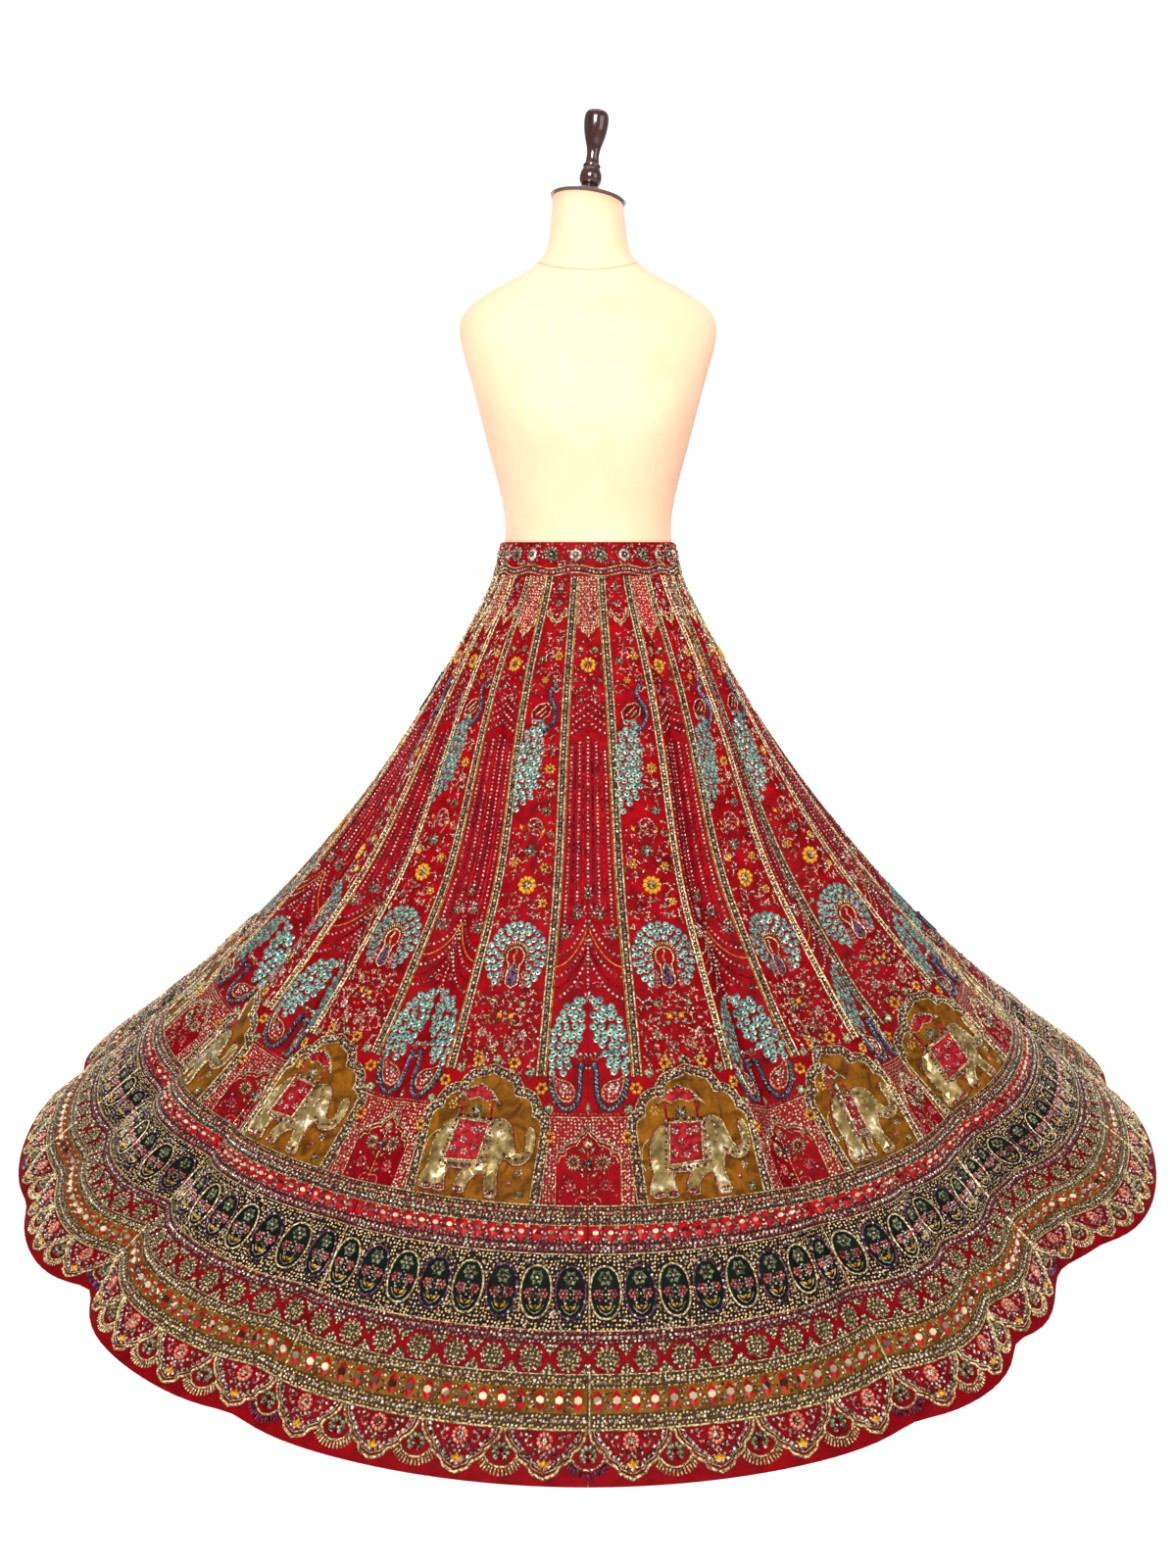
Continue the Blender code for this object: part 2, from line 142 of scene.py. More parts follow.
def smooth_mesh(bm, name, finishes, sharp=180.0):
    """The mesh of a built body, in its finishes, smooth but for edges past the sharp angle."""
    mesh = bpy.data.meshes.new(name)
    bm.to_mesh(mesh)
    bm.free()
    for finish in finishes:
        mesh.materials.append(finish)
    mesh.shade_smooth()
    if sharp < 180.0:
        mesh.set_sharp_from_angle(angle=math.radians(sharp))
    return mesh


def link(name, data):
    """A new object in the scene, for a mesh, a light or a camera."""
    made = bpy.data.objects.new(name, data)
    bpy.context.scene.collection.objects.link(made)
    return made


def keep(name, mesh, replaces=()):
    """Shows a finished mesh as a piece that rides on the dress form's one body."""
    made = link(name, mesh)
    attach(made, "root")
    if replaces:
        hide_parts(*replaces)
    return made


def turn_on_lathe(name, profile, finish, place):
    """A closed turned body from its profile."""
    bm = bmesh.new()
    verts = [bm.verts.new((radius, 0.0, height)) for radius, height in np.array(profile) / 1e4]
    for pair in zip(verts, verts[1:]):
        bm.edges.new(pair)
    bmesh.ops.spin(bm, geom=bm.verts[:] + bm.edges[:], cent=(0, 0, 0), axis=(0, 0, 1),
                   angle=math.tau, steps=LATHE_STEPS, use_merge=True)
    bmesh.ops.remove_doubles(bm, verts=bm.verts, dist=0.00002)
    outwards(bm)
    bmesh.ops.transform(bm, matrix=place, verts=bm.verts)
    return smooth_mesh(bm, name, [finish], 35.0)


wood, tree, shader = material("dark_mahogany", (0.035, 0.007, 0.004), 0.16, Coat_Weight=1.0,
                              Coat_Roughness=0.05, Coat_IOR=1.55)
place = object_place(tree)
along_grain = node(tree, "Mapping", Vector=place, Scale=(260.0, 260.0, 22.0)).outputs[0]
grain = noise(tree, along_grain, 1.0, 6.0, Roughness=0.62, Distortion=0.6)
stain = ramp(tree, grain, (0.36, (0.010, 0.0022, 0.0016)), (0.62, (0.085, 0.013, 0.006)))
wire(tree, shader, Base_Color=mix(tree, noise(tree, place, 38.0), stain, (0.020, 0.004, 0.003)),
     Roughness=calc(tree, "MULTIPLY_ADD", grain, 0.14, 0.10),
     Normal=bump(tree, grain, 0.00008, 0.5))

steel, tree, shader = material("brushed_steel", (0.56, 0.56, 0.57), 0.3, 1.0)
round_pole = node(tree, "Mapping", Vector=object_place(tree), Scale=(30.0, 30.0, 2400.0)).outputs[0]
brushing = noise(tree, round_pole, 1.0, 3.0)
wire(tree, shader, Roughness=calc(tree, "MULTIPLY_ADD", brushing, 0.25, 0.2),
     Base_Color=ramp(tree, brushing, (0.3, (0.46, 0.46, 0.47)), (0.7, (0.66, 0.66, 0.67))),
     Normal=bump(tree, brushing, 0.00003, 0.6))

on_neck = Matrix.Translation(NECK_TOP) @ Matrix.Rotation(NECK_TILT, 4, "Y")
for name, replaced, profile, finish, slot, place in (
        ("neck_cap_turned", "neck_cap", CAP, wood, "dark_wood",
         on_neck @ Matrix.Translation((0, 0, CAP_LIFT))),
        ("finial_turned", "finial", FINIAL, wood, "dark_wood",
         on_neck @ Matrix.Translation((0, 0, FINIAL_LIFT))),
        ("stand_base_turned", "stand_base", BASE, wood, "dark_wood", Matrix()),
        ("stand_pole_tube", "stand_pole", POLE, steel, "pole_steel", Matrix())):
    keep(name, turn_on_lathe(name, profile, finish, place), (replaced,))


# ---------------------------------------------------------------- the dress form
# A moulded shell covered in cream cotton jersey, drawn smooth, with a sewn seam round the foot
# of the neck and one down each side of the front. It carries the skirt at its waist.
NECK_SEAM_HEIGHT = 1.158     # where the neck's cover is joined to the body's, at the sides
NECK_SEAM_DIP = 0.020        # how much lower the seam runs at the front and back
NECK_REACH = 0.062           # how far forward of the middle the dip is full
SEAM_HALF = 0.0016
SIDE_SEAM, SIDE_LEAN = 0.157, -0.075   # the side seams' half spread at the floor, and its lean
FORM_CREASE = 50.0

linen, tree, shader = material("form_jersey", (0.84, 0.73, 0.56), 0.82, Sheen_Weight=0.25,
                               Sheen_Roughness=0.5)
place = object_place(tree)
soiling = noise(tree, place, 9.0, 4.0, Roughness=0.6)
jersey = ramp(tree, soiling, (0.32, (0.96, 0.50, 0.30)), (0.68, (1.0, 0.58, 0.39)))
split = node(tree, "SeparateXYZ", Vector=place).outputs


def line_mask(distance, half):
    """One on a line, falling to nothing at its half width."""
    return calc(tree, "SUBTRACT", 1.0, calc(tree, "DIVIDE", calc(tree, "ABSOLUTE", distance), half))


# The neck seam: a level line that dips with the square of how far forward it lies.
forward = calc(tree, "MULTIPLY", split["Y"], 1.0 / NECK_REACH)
dip = calc(tree, "MULTIPLY", calc(tree, "MULTIPLY", forward, forward), NECK_SEAM_DIP)
from_neck = calc(tree, "SUBTRACT", calc(tree, "ADD", split["Z"], dip), NECK_SEAM_HEIGHT)
# The side seams of the front: fainter lines that lean in towards the neck.
lean_in = calc(tree, "MULTIPLY_ADD", split["Z"], SIDE_LEAN, SIDE_SEAM)
from_side = calc(tree, "SUBTRACT", calc(tree, "ABSOLUTE", split["X"]), lean_in)
faint = calc(tree, "MULTIPLY", calc(tree, "LESS_THAN", from_neck, 0.0), 0.2)
side_seam = calc(tree, "MULTIPLY", line_mask(from_side, SEAM_HALF * 0.7), faint)
seams = calc(tree, "MAXIMUM",
             calc(tree, "MAXIMUM", line_mask(from_neck, SEAM_HALF), side_seam), 0.0)
hills = calc(tree, "MULTIPLY_ADD", noise(tree, place, 900.0), 0.12,
             calc(tree, "MULTIPLY", seams, -1.0))
wire(tree, shader, Normal=bump(tree, hills, 0.0007, 0.6),
     Base_Color=mix(tree, calc(tree, "MULTIPLY", seams, 0.75), jersey, (0.40, 0.27, 0.16)))

bm = bmesh.new()
bm.from_mesh(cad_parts["form_torso"].data)
bmesh.ops.remove_doubles(bm, verts=bm.verts, dist=0.0001)
bmesh.ops.join_triangles(bm, faces=bm.faces, angle_face_threshold=0.3, angle_shape_threshold=0.6)
crease = bm.edges.layers.float.new("crease_edge")
for edge in bm.edges:
    edge[crease] = float(edge.calc_face_angle(0.0) > math.radians(FORM_CREASE))
torso = keep("form_torso_cover", smooth_mesh(bm, "form_torso_cover", [linen], FORM_CREASE),
             ("form_torso",))
rounding = torso.modifiers.new("rounding", "SUBSURF")
rounding.levels = rounding.render_levels = 1
rounding.use_creases = True


# ---------------------------------------------------------------- the velvet skirt
# Sixteen flared kalis of red silk velvet on a cotton lining, joined edge to edge by long seams.
# The same rule gives the place of every point of the cloth, for the velvet and its embroidery.
KALIS = 16
WAIST_HEIGHT = 0.794
WAIST_HALF_WIDTH, WAIST_HALF_DEPTH = 0.1215, 0.1035
CLOTH_LENGTH = 1.06
BAND_HEIGHT = 0.0333
SHELL_WALL = 0.0018
SEAM_GAP = 0.0003
LEAN = ((0.000, 10.0), (0.035, 16.0), (0.075, 30.5), (0.210, 33.5), (0.420, 38.5),
        (0.640, 44.5), (0.850, 50.5), (1.060, 55.5))   # along, degrees out from upright
GATHER, GATHER_FADES = 0.38, (0.12, 0.50)
# Folds: the angle at the top and the hem, the half width, and the depth at three places.
FOLDS = ((-22.5, -25.0, 5.0, 0.006, 0.016, 0.010), (-44.0, -45.0, 6.0, 0.012, 0.026, 0.034),
         (-64.0, -61.0, 6.5, 0.018, 0.038, 0.012), (-88.0, -87.0, 6.0, 0.014, 0.030, 0.026),
         (22.5, 22.5, 5.0, 0.018, 0.040, 0.010), (31.0, 35.0, 5.0, 0.000, 0.026, 0.022),
         (45.0, 46.0, 14.0, 0.004, 0.020, 0.066), (47.0, 52.0, 5.0, 0.020, 0.040, 0.010),
         (80.0, 84.0, 6.0, 0.012, 0.030, 0.020), (101.0, 104.0, 6.5, 0.016, 0.036, 0.032),
         (122.0, 124.0, 7.0, 0.012, 0.030, 0.022), (146.0, 147.0, 6.0, 0.018, 0.040, 0.036),
         (168.0, 171.0, 7.0, 0.014, 0.030, 0.020), (-168.0, -166.0, 6.5, 0.018, 0.036, 0.032),
         (-143.0, -144.0, 7.0, 0.012, 0.030, 0.022), (-116.0, -114.0, 6.0, 0.016, 0.040, 0.034))
FOLD_STATIONS = (0.04, 0.265, 0.64, 1.06)
FOLD_FALL, FOLD_ROUNDING = 2.2, 0.245
LEVEL_FROM, OVAL_UNTIL = 0.74, 0.45
COLUMNS, ROWS = 20, 66       # cells of the cloth's grid across a kali, and down it
BAND_ROWS = 3                # cells down the waistband, above the kalis' own
CLOTH_CREASE = 60.0
# Painted shade: the velvet is painted darker towards the hem, fully at the lower height and not at
# all above the upper.
HEM_SHADE_DEEPEST_AT, HEM_SHADE_ENDS_AT = 0.03, 0.50   # the heights between which the velvet's tone changes


def smooth_step(low, high, value):
    t = np.clip((np.asarray(value, float) - low) / (high - low), 0.0, 1.0)
    return t * t * (3.0 - 2.0 * t)


def lean_profile(steps=530):
    """How far out and how far down the cloth is, at even steps along its length."""
    along = np.linspace(0.0, CLOTH_LENGTH, steps + 1)
    lean = np.radians(np.interp(along, *np.transpose(LEAN)))
    middle = (lean[1:] + lean[:-1]) / 2.0
    step = CLOTH_LENGTH / steps
    out, down = (np.concatenate(([0.0], np.cumsum(part(middle) * step)))
                 for part in (np.sin, np.cos))
    return along, out, down, lean


ALONG, OUT, DOWN, LEAN_ANGLE = lean_profile()


def gathered(angle, along):
    """Where a seam or fold stands once the waist's gathers have drawn it to the sides."""
    share = GATHER * (1.0 - smooth_step(*GATHER_FADES, along))
    return angle + np.degrees(share / 2.0 * np.sin(2.0 * np.radians(angle)))


def fold_depth(angle, along):
    """How far the folds draw the cloth in, at an angle round it and a place down it."""
    depth = np.zeros(np.broadcast(angle, along).shape)
    for top, hem, width, upper, middle, at_hem in FOLDS:
        centre = gathered(top + (hem - top) * along / CLOTH_LENGTH, along)
        away = (angle - centre + 180.0) % 360.0 - 180.0
        spread = np.hypot(away / width, FOLD_ROUNDING) - FOLD_ROUNDING
        reach = np.interp(along, FOLD_STATIONS, (0.0, upper, middle, at_hem))
        depth = depth + np.exp(-FOLD_FALL * spread) * reach
    return depth


def cloth_point(angle, along):
    """The outer side of the cloth at an angle round it and a place down it."""
    angle, along = np.broadcast_arrays(np.asarray(angle, float), np.asarray(along, float))
    out, down, lean = (np.interp(along, ALONG, table) for table in (OUT, DOWN, LEAN_ANGLE))
    oval = 1.0 - smooth_step(0.0, OVAL_UNTIL, along)
    round_radius = (WAIST_HALF_WIDTH + WAIST_HALF_DEPTH) / 2.0
    difference = (WAIST_HALF_WIDTH - WAIST_HALF_DEPTH) / 2.0 * oval
    push = lean * (1.0 - smooth_step(LEVEL_FROM, CLOTH_LENGTH, along))
    depth = fold_depth(angle, along)
    across = out - depth * np.cos(push)
    turn = np.radians(angle)
    x = (round_radius + difference + across) * np.sin(turn)
    y = -(round_radius - difference + across) * np.cos(turn)
    z = WAIST_HEIGHT - down - depth * np.sin(push)
    return np.stack([x, y, z - (WAIST_HEIGHT - DOWN[-1]) * along / CLOTH_LENGTH], axis=-1)


def cloth_normal(angle, along, turn=0.2, step=0.001):
    top, low = (np.clip(along + way, 0.0, CLOTH_LENGTH) for way in (-step, step))
    round_way = cloth_point(angle + turn, along) - cloth_point(angle - turn, along)
    down_way = cloth_point(angle, low) - cloth_point(angle, top)
    normal = np.cross(down_way, round_way)
    return normal / np.linalg.norm(normal, axis=-1, keepdims=True)


def even_angles(kali, along, count=121):
    """The angles at even steps of cloth across one kali, at a place down it, and its width."""
    seams = [gathered(360.0 / KALIS * seam, along) for seam in (kali, kali + 1)]
    angle = np.linspace(*seams, count)
    steps = np.linalg.norm(np.diff(cloth_point(angle, np.full(count, along)), axis=0), axis=1)
    length = np.concatenate(([0.0], np.cumsum(steps)))
    return np.interp(np.linspace(0.0, length[-1], COLUMNS + 1), length, angle), length[-1]


row_places = np.concatenate((np.linspace(0.0, BAND_HEIGHT, BAND_ROWS + 1),
                             np.linspace(BAND_HEIGHT + SEAM_GAP, CLOTH_LENGTH, ROWS + 1)))
KALI_TOP = BAND_ROWS + 1     # the row at which the kalis start
grid = [[even_angles(kali, along) for along in row_places] for kali in range(KALIS)]
grid_widths = np.array([[width for _angles, width in rows] for rows in grid])
grid_angles = np.array([[angles for angles, _width in rows] for rows in grid])
grid_along = np.broadcast_to(row_places[None, :, None], grid_angles.shape)
grid_points = cloth_point(grid_angles, grid_along)      # kali, row, column, coordinate
grid_normals = cloth_normal(grid_angles, grid_along)


def flat_uv(mesh, flat):
    """Writes where each corner lies on the flat cloth, in metres, as the piece's UV map."""
    corners = np.empty(len(mesh.loops), np.int32)
    mesh.loops.foreach_get("vertex_index", corners)
    mesh.uv_layers.new(name="flat").data.foreach_set("uv", flat[corners].astype(np.float32).ravel())


def node_group(name, given, *outputs):
    """A new node group, its start and its end."""
    group = bpy.data.node_groups.new(name, "ShaderNodeTree")
    for way, names in (("INPUT", (given,)), ("OUTPUT", outputs)):
        for socket in names:
            group.interface.new_socket(socket, in_out=way, socket_type="NodeSocketFloat")
    start, end = (group.nodes.new("NodeGroup" + way) for way in ("Input", "Output"))
    return group, start.outputs[given], end


# The nap of velvet: brushed patches that lie this way and that, and the fine pile.
velvet_nap, patch_size, end = node_group("velvet_nap", "Patch size", "Patches", "Pile")
place = object_place(velvet_nap)
wire(velvet_nap, end, Pile=noise(velvet_nap, place, 1500.0, 1.0),
     Patches=noise(velvet_nap, place, patch_size, 4.0, Roughness=0.6, Distortion=0.8))


def remap(tree, value, low, high, start=0.0, end=1.0):
    return node(tree, "MapRange", _0=value, _1=low, _2=high, _3=start, _4=end).outputs[0]


def velvet(name, dark, bright, patch_size, sheen, contrast=(0.35, 0.65), hem_shade_tone=1.0):
    """Cut-pile velvet: soft, with a pale sheen where it turns away, and brushed patches.

    Towards the hem its colour is painted darker, a painted shade that falls to the hem's shade
    tone."""
    made, tree, shader = material(name, bright, 0.62, Sheen_Weight=sheen[0], Sheen_Roughness=0.35,
                                  Sheen_Tint=(*sheen[1], 1.0), Specular_IOR_Level=0.05)
    nap = node(tree, "Group", {"node_tree": velvet_nap}, Patch_size=patch_size).outputs
    colour = ramp(tree, nap["Patches"], (contrast[0], dark), (contrast[1], bright))
    height = node(tree, "SeparateXYZ", Vector=object_place(tree)).outputs["Z"]
    # Painted shade: darker towards the hem, by the height over the floor.
    painted_hem_shade = remap(tree, height, HEM_SHADE_DEEPEST_AT, HEM_SHADE_ENDS_AT, hem_shade_tone)
    colour = mix(tree, calc(tree, "MULTIPLY", nap["Pile"], 0.35), mix(tree, painted_hem_shade, dark, colour),
                 dark)
    wire(tree, shader, Base_Color=colour, Normal=bump(tree, nap["Pile"], 0.0004, 0.35))
    return made


# The red velvet is painted darker towards the hem, a painted shade down to half its tone.
red_velvet = velvet("red_velvet", (0.08, 0.0, 0.001), (0.385, 0.0, 0.005), 50.0,
                    (0.04, (1.0, 0.05, 0.08)), (0.28, 0.72), 0.50)
lining, tree, shader = material("cotton_lining", (0.42, 0.02, 0.025), 0.85)
flat = node(tree, "UVMap", {"uv_map": "flat"}).outputs["UV"]
weave = calc(tree, "ADD", *(
    node(tree, "TexWave", {"bands_direction": way}, Vector=flat, Scale=700.0).outputs["Fac"]
    for way in "XY"))
wire(tree, shader, Normal=bump(tree, weave, 0.0002, 0.5),
     Base_Color=ramp(tree, weave, (0.4, (0.36, 0.015, 0.02)), (1.6, (0.46, 0.025, 0.03))))


def points_of(geometry):
    return [item for item in geometry if isinstance(item, bmesh.types.BMVert)]


def walled_grid(columns, rows):
    """A flat grid with a wall: its body, and each point's column, row and whether it is inner."""
    bm = bmesh.new()
    bmesh.ops.create_grid(bm, x_segments=columns, y_segments=rows, size=0.5)
    bmesh.ops.translate(bm, verts=bm.verts, vec=(0.5, 0.5, 0.0))
    grown = bmesh.ops.extrude_face_region(bm, geom=list(bm.faces), use_keep_orig=True)["geom"]
    bmesh.ops.translate(bm, vec=(0.0, 0.0, -1.0), verts=points_of(grown))
    flat = np.array([vert.co for vert in bm.verts])
    return (bm, flat, np.rint(flat[:, 0] * columns).astype(int),
            np.rint((1.0 - flat[:, 1]) * rows).astype(int), flat[:, 2] < -0.5)


def laid_out(bm, name, points, inner, flat, finishes):
    """The walled grid's mesh once its points are laid on the cloth's rule."""
    for vert, point in zip(bm.verts, points):
        vert.co = point
    for face in bm.faces:
        face.material_index = (len(finishes) - 1) * all(inner[vert.index] for vert in face.verts)
    outwards(bm)
    mesh = smooth_mesh(bm, name, finishes, CLOTH_CREASE)
    flat_uv(mesh, flat)
    return mesh


kali_pieces = []
for kali in range(KALIS):
    bm, flat, columns, rows, inner = walled_grid(COLUMNS, ROWS)
    rows += KALI_TOP
    normals = grid_normals[kali, rows, columns]
    # The hem is cut level, so that it stands flat, and the sides stop short of the seams.
    level = (rows == KALI_TOP + ROWS)[:, None] & inner[:, None]
    normals = np.where(level, normals * (1.0, 1.0, 0.0), normals)
    normals = normals / np.linalg.norm(normals, axis=1, keepdims=True)
    points = grid_points[kali, rows, columns] - normals * (inner * SHELL_WALL)[:, None]
    inward = (columns == 0).astype(int) - (columns == COLUMNS)
    across = grid_points[kali, rows, columns + inward] - grid_points[kali, rows, columns]
    length = np.maximum(np.linalg.norm(across, axis=1, keepdims=True), 1e-6)
    points = points + across / length * SEAM_GAP / 2.0
    on_flat = np.stack([(flat[:, 0] - 0.5) * grid_widths[kali, rows], -row_places[rows]], axis=1)
    name = f"kali_velvet_{kali + 1:02d}"
    piece = keep(name, laid_out(bm, name, points, inner, on_flat, (red_velvet, lining)),
                 (f"kali_{kali + 1:02d}",))
    widths = grid_widths[kali, KALI_TOP:]
    cut = float((widths[1:] + widths[:-1]).sum() / 2.0 * (row_places[-1] - row_places[-2]))
    kali_pieces.append((piece, cut))


# ---------------------------------------------------------------- the waistband and its fastening
# A straight band of the same velvet over stiff canvas, whose ends meet at the side seam on the
# wearer's right. A lapped tab of velvet holds them with a pair of flat brass snaps.
BAND_WALL = 0.0030
CLOSURE_SEAM = 12             # the seam between kalis at which the band's ends meet
ring_points, ring_normals = (np.concatenate([*table[:, :, :COLUMNS], table[0, :, :1]], axis=1)
                             for table in (grid_points, grid_normals))
round_cells = KALIS * COLUMNS
bm, flat, stops, rows, inner = walled_grid(round_cells, BAND_ROWS)
columns = (stops + CLOSURE_SEAM * COLUMNS) % round_cells
ends = ((stops == 0).astype(int) - (stops == round_cells))[:, None]
points = ring_points[rows, columns] - ring_normals[rows, columns] * inner[:, None] * BAND_WALL
points = points + (0.0, -SEAM_GAP / 2.0, 0.0) * ends
band_length = float(grid_widths[:, 1].sum())
on_flat = np.column_stack([flat[:, 0] * band_length, -row_places[rows]])
band = keep("waistband_velvet", laid_out(bm, "waistband_velvet", points, inner, on_flat,
                                         (red_velvet,)), ("waistband",))

brass, tree, shader = material("snap_brass", (0.78, 0.62, 0.34), 0.25, 1.0)
scratches = noise(tree, object_place(tree), 900.0, 3.0)
wire(tree, shader, Normal=bump(tree, scratches, 0.00005, 0.4),
     Base_Color=ramp(tree, scratches, (0.3, (0.55, 0.40, 0.20)), (0.6, (0.86, 0.70, 0.42))))
for name, finish in (("closure_tab", red_velvet), ("closure_snap_back", brass),
                     ("closure_snap_front", brass)):
    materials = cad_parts[name].data.materials
    materials.clear()
    materials.append(finish)


# ---------------------------------------------------------------- the gold ribs
# Two ribs on each kali part its middle panel from the panel that straddles the seam: couched
# gold cords with a row of square beads between them, and a thin outer line. All sewn work is
# drawn flat for one kali: a share of its width, metres across and down, height over the velvet.
RIB_WIDTH = 0.0104
MIDDLE_SHARE = 0.50          # of what the ribs leave, how much the middle panel takes
RIB_START, RIB_END = BAND_HEIGHT + 0.012, 0.690
MIDDLE, SEAM = 0.5, 0.0      # the shares of a kali at which the two panels are centred
SIDES = (-1, 1)
PETAL_WAY = math.pi / 2.0    # a petal is drawn upright, so one that points out is turned by this
sewn_points, sewn_faces, sewn_finishes, finishes = [], [], [], {}
chance = np.random.default_rng(16)


def kali_width(along):
    """How wide a front kali is, which is the width that the work is drawn for."""
    return np.interp(along, row_places, grid_widths[0])


def middle_half(along):
    return MIDDLE_SHARE * (kali_width(along) - 2.0 * RIB_WIDTH) / 2.0


def seam_half(along):
    return (1.0 - MIDDLE_SHARE) * (kali_width(along) - 2.0 * RIB_WIDTH) / 2.0


def flat_at(share, across, down):
    """Rows of (share, across, down), the form in which all work is drawn."""
    return np.column_stack(np.broadcast_arrays(share, across, down)).astype(float)


def unrolled(path):
    """The same points in metres across and up the flat kali."""
    return np.column_stack([path[:, 0] * kali_width(path[:, 2]) + path[:, 1], -path[:, 2]])


def sew(points, faces, finish):
    """Adds work: points of (share, across, down, height, crest) and blocks of faces.

    The crest runs from none at the foot of a bead or cord to one at its top."""
    start = sum(len(block) for block in sewn_points)
    sewn_points.append(np.asarray(points, float))
    for block in faces:
        sewn_faces.extend((np.asarray(block) + start).tolist())
        sewn_finishes.extend([list(finishes).index(finish)] * len(block))


def points_and_faces(bm):
    """A body's points, and its faces in blocks of equal corner counts; the body is freed."""
    bm.verts.index_update()
    points = np.array([vert.co for vert in bm.verts])
    faces = {}
    for face in bm.faces:
        faces.setdefault(len(face.verts), []).append([vert.index for vert in face.verts])
    bm.free()
    return points, [np.array(block) for block in faces.values()]


def kit_shape(sides, tip=0.0, tip_at=0.0, turned=0.0, wide=1.0):
    """A closed little shape, one across, one long and one high: a bead, a stud or a petal."""
    bm = bmesh.new()
    bmesh.ops.create_cone(bm, cap_ends=True, segments=sides, radius1=wide / 2.0, radius2=tip / 2.0,
                          depth=1.0)
    bmesh.ops.rotate(bm, verts=bm.verts, cent=(0, 0, 0), matrix=Matrix.Rotation(turned, 3, "Z"))
    bmesh.ops.translate(bm, verts=bm.verts, vec=(0.0, 0.5 if tip_at else 0.0, 0.5))
    if tip_at:
        bmesh.ops.translate(bm, verts=[vert for vert in bm.verts if vert.co.z > 0.5],
                            vec=(0.0, tip_at - 0.5, 0.0))
    if tip == 0.0:
        bmesh.ops.remove_doubles(bm, verts=bm.verts, dist=0.0001)
    return points_and_faces(bm)


KIT = {"bead": kit_shape(4, turned=math.radians(45.0), wide=1.3), "stud": kit_shape(6, tip=0.45),
       "disc": kit_shape(6, tip=0.72), "petal": kit_shape(4, tip_at=0.34, wide=1.15),
       "cone": kit_shape(6), "mirror": kit_shape(6, tip=0.86)}


def put(shape, at, size, finish, turn=0.0, lift=0.0004):
    points, faces = KIT[shape]
    at = np.atleast_2d(np.asarray(at, float))
    count = len(at)
    scaled = points[None] * np.broadcast_to(np.asarray(size, float), (count, 3))[:, None]
    turn = np.broadcast_to(np.asarray(turn, float), (count,))
    cos, sin = np.cos(turn)[:, None], np.sin(turn)[:, None]
    across = scaled[..., 0] * cos - scaled[..., 1] * sin
    up = scaled[..., 0] * sin + scaled[..., 1] * cos
    lift = np.broadcast_to(np.asarray(lift, float), (count,))[:, None]
    placed = np.stack([np.broadcast_to(at[:, :1], across.shape), at[:, 1:2] + across,
                       at[:, 2:3] - up, scaled[..., 2] + lift,
                       np.broadcast_to(points[:, 2], across.shape)], axis=-1)
    steps = (np.arange(count) * len(points))[:, None, None]
    sew(placed.reshape(-1, 5), [(block[None] + steps).reshape(-1, block.shape[1])
                                for block in faces], finish)


def lay(local, origin, turn=0.0, scale=1.0):
    """Places a small drawing (across, up) about an origin of (share, across, down)."""
    local = np.atleast_2d(np.asarray(local, float)) * scale
    cos, sin = math.cos(turn), math.sin(turn)
    across = local[:, 0] * cos - local[:, 1] * sin
    up = local[:, 0] * sin + local[:, 1] * cos
    return flat_at(origin[0], origin[1] + across, origin[2] - up)


def even_steps(path, step):
    """The same path with points added, so that none are further apart than the step."""
    path = np.asarray(path, float)
    lengths = np.linalg.norm(np.diff(unrolled(path), axis=0), axis=1)
    pieces = [path[:1]]
    for start, end, length in zip(path, path[1:], lengths):
        cuts = max(1, math.ceil(length / step - 0.01))
        pieces.append(start + (end - start) * (np.arange(1, cuts + 1) / cuts)[:, None])
    return np.concatenate(pieces)


def heading(path, closed=False):
    """Unit steps along a path on the flat cloth, as (across, up)."""
    flat = unrolled(path)
    ahead = (np.roll(flat, -1, axis=0) - np.roll(flat, 1, axis=0) if closed
             else np.gradient(flat, axis=0))
    return ahead / np.maximum(np.linalg.norm(ahead, axis=1, keepdims=True), 1e-9)


def cord(path, finish, width=0.0016, height=None, step=0.012, lift=0.0003):
    """Couches a cord along a path: a closed ridge of three sides that follows the cloth.

    A path that ends where it began makes a ring."""
    path = even_steps(path, step)
    closed = len(path) > 3 and bool((path[0] == path[-1]).all())
    if closed:
        path = path[:-1]
    ahead = heading(path, closed)
    aside = np.column_stack([-ahead[:, 1], -ahead[:, 0]]) * width / 2.0
    stations = len(path)
    points = np.repeat(path, 3, axis=0)
    points[0::3, 1:] += aside
    points[1::3, 1:] -= aside
    rise = np.tile((lift, lift, lift + (height or width * 0.50)), stations)
    left = np.arange(stations if closed else stations - 1) * 3
    next_left = (left + 3) % (3 * stations)
    right, top, next_right, next_top = left + 1, left + 2, next_left + 1, next_left + 2
    faces = [np.column_stack([left, top, next_top, next_left]),
             np.column_stack([right, next_right, next_top, top]),
             np.column_stack([left, next_left, next_right, right])]
    if not closed:
        last = 3 * (stations - 1)
        faces.append(np.array([[0, 1, 2], [last, last + 2, last + 1]]))
    sew(np.column_stack([points, rise, np.tile((0.0, 0.0, 1.0), stations)]), faces, finish)


def along_path(path, spacing):
    """Evenly spaced places on a path, and the way it heads at each, for rows of beads."""
    fine = even_steps(path, spacing / 3.0)
    steps = np.linalg.norm(np.diff(unrolled(fine), axis=0), axis=1)
    gone = np.concatenate(([0.0], np.cumsum(steps)))
    count = max(1, int(round(gone[-1] / spacing)))
    stops = (np.arange(count) + 0.5) * gone[-1] / count
    at = np.column_stack([np.interp(stops, gone, fine[:, k]) for k in range(3)])
    ahead = heading(fine)
    return at, np.arctan2(np.interp(stops, gone, -ahead[:, 0]), np.interp(stops, gone, ahead[:, 1]))


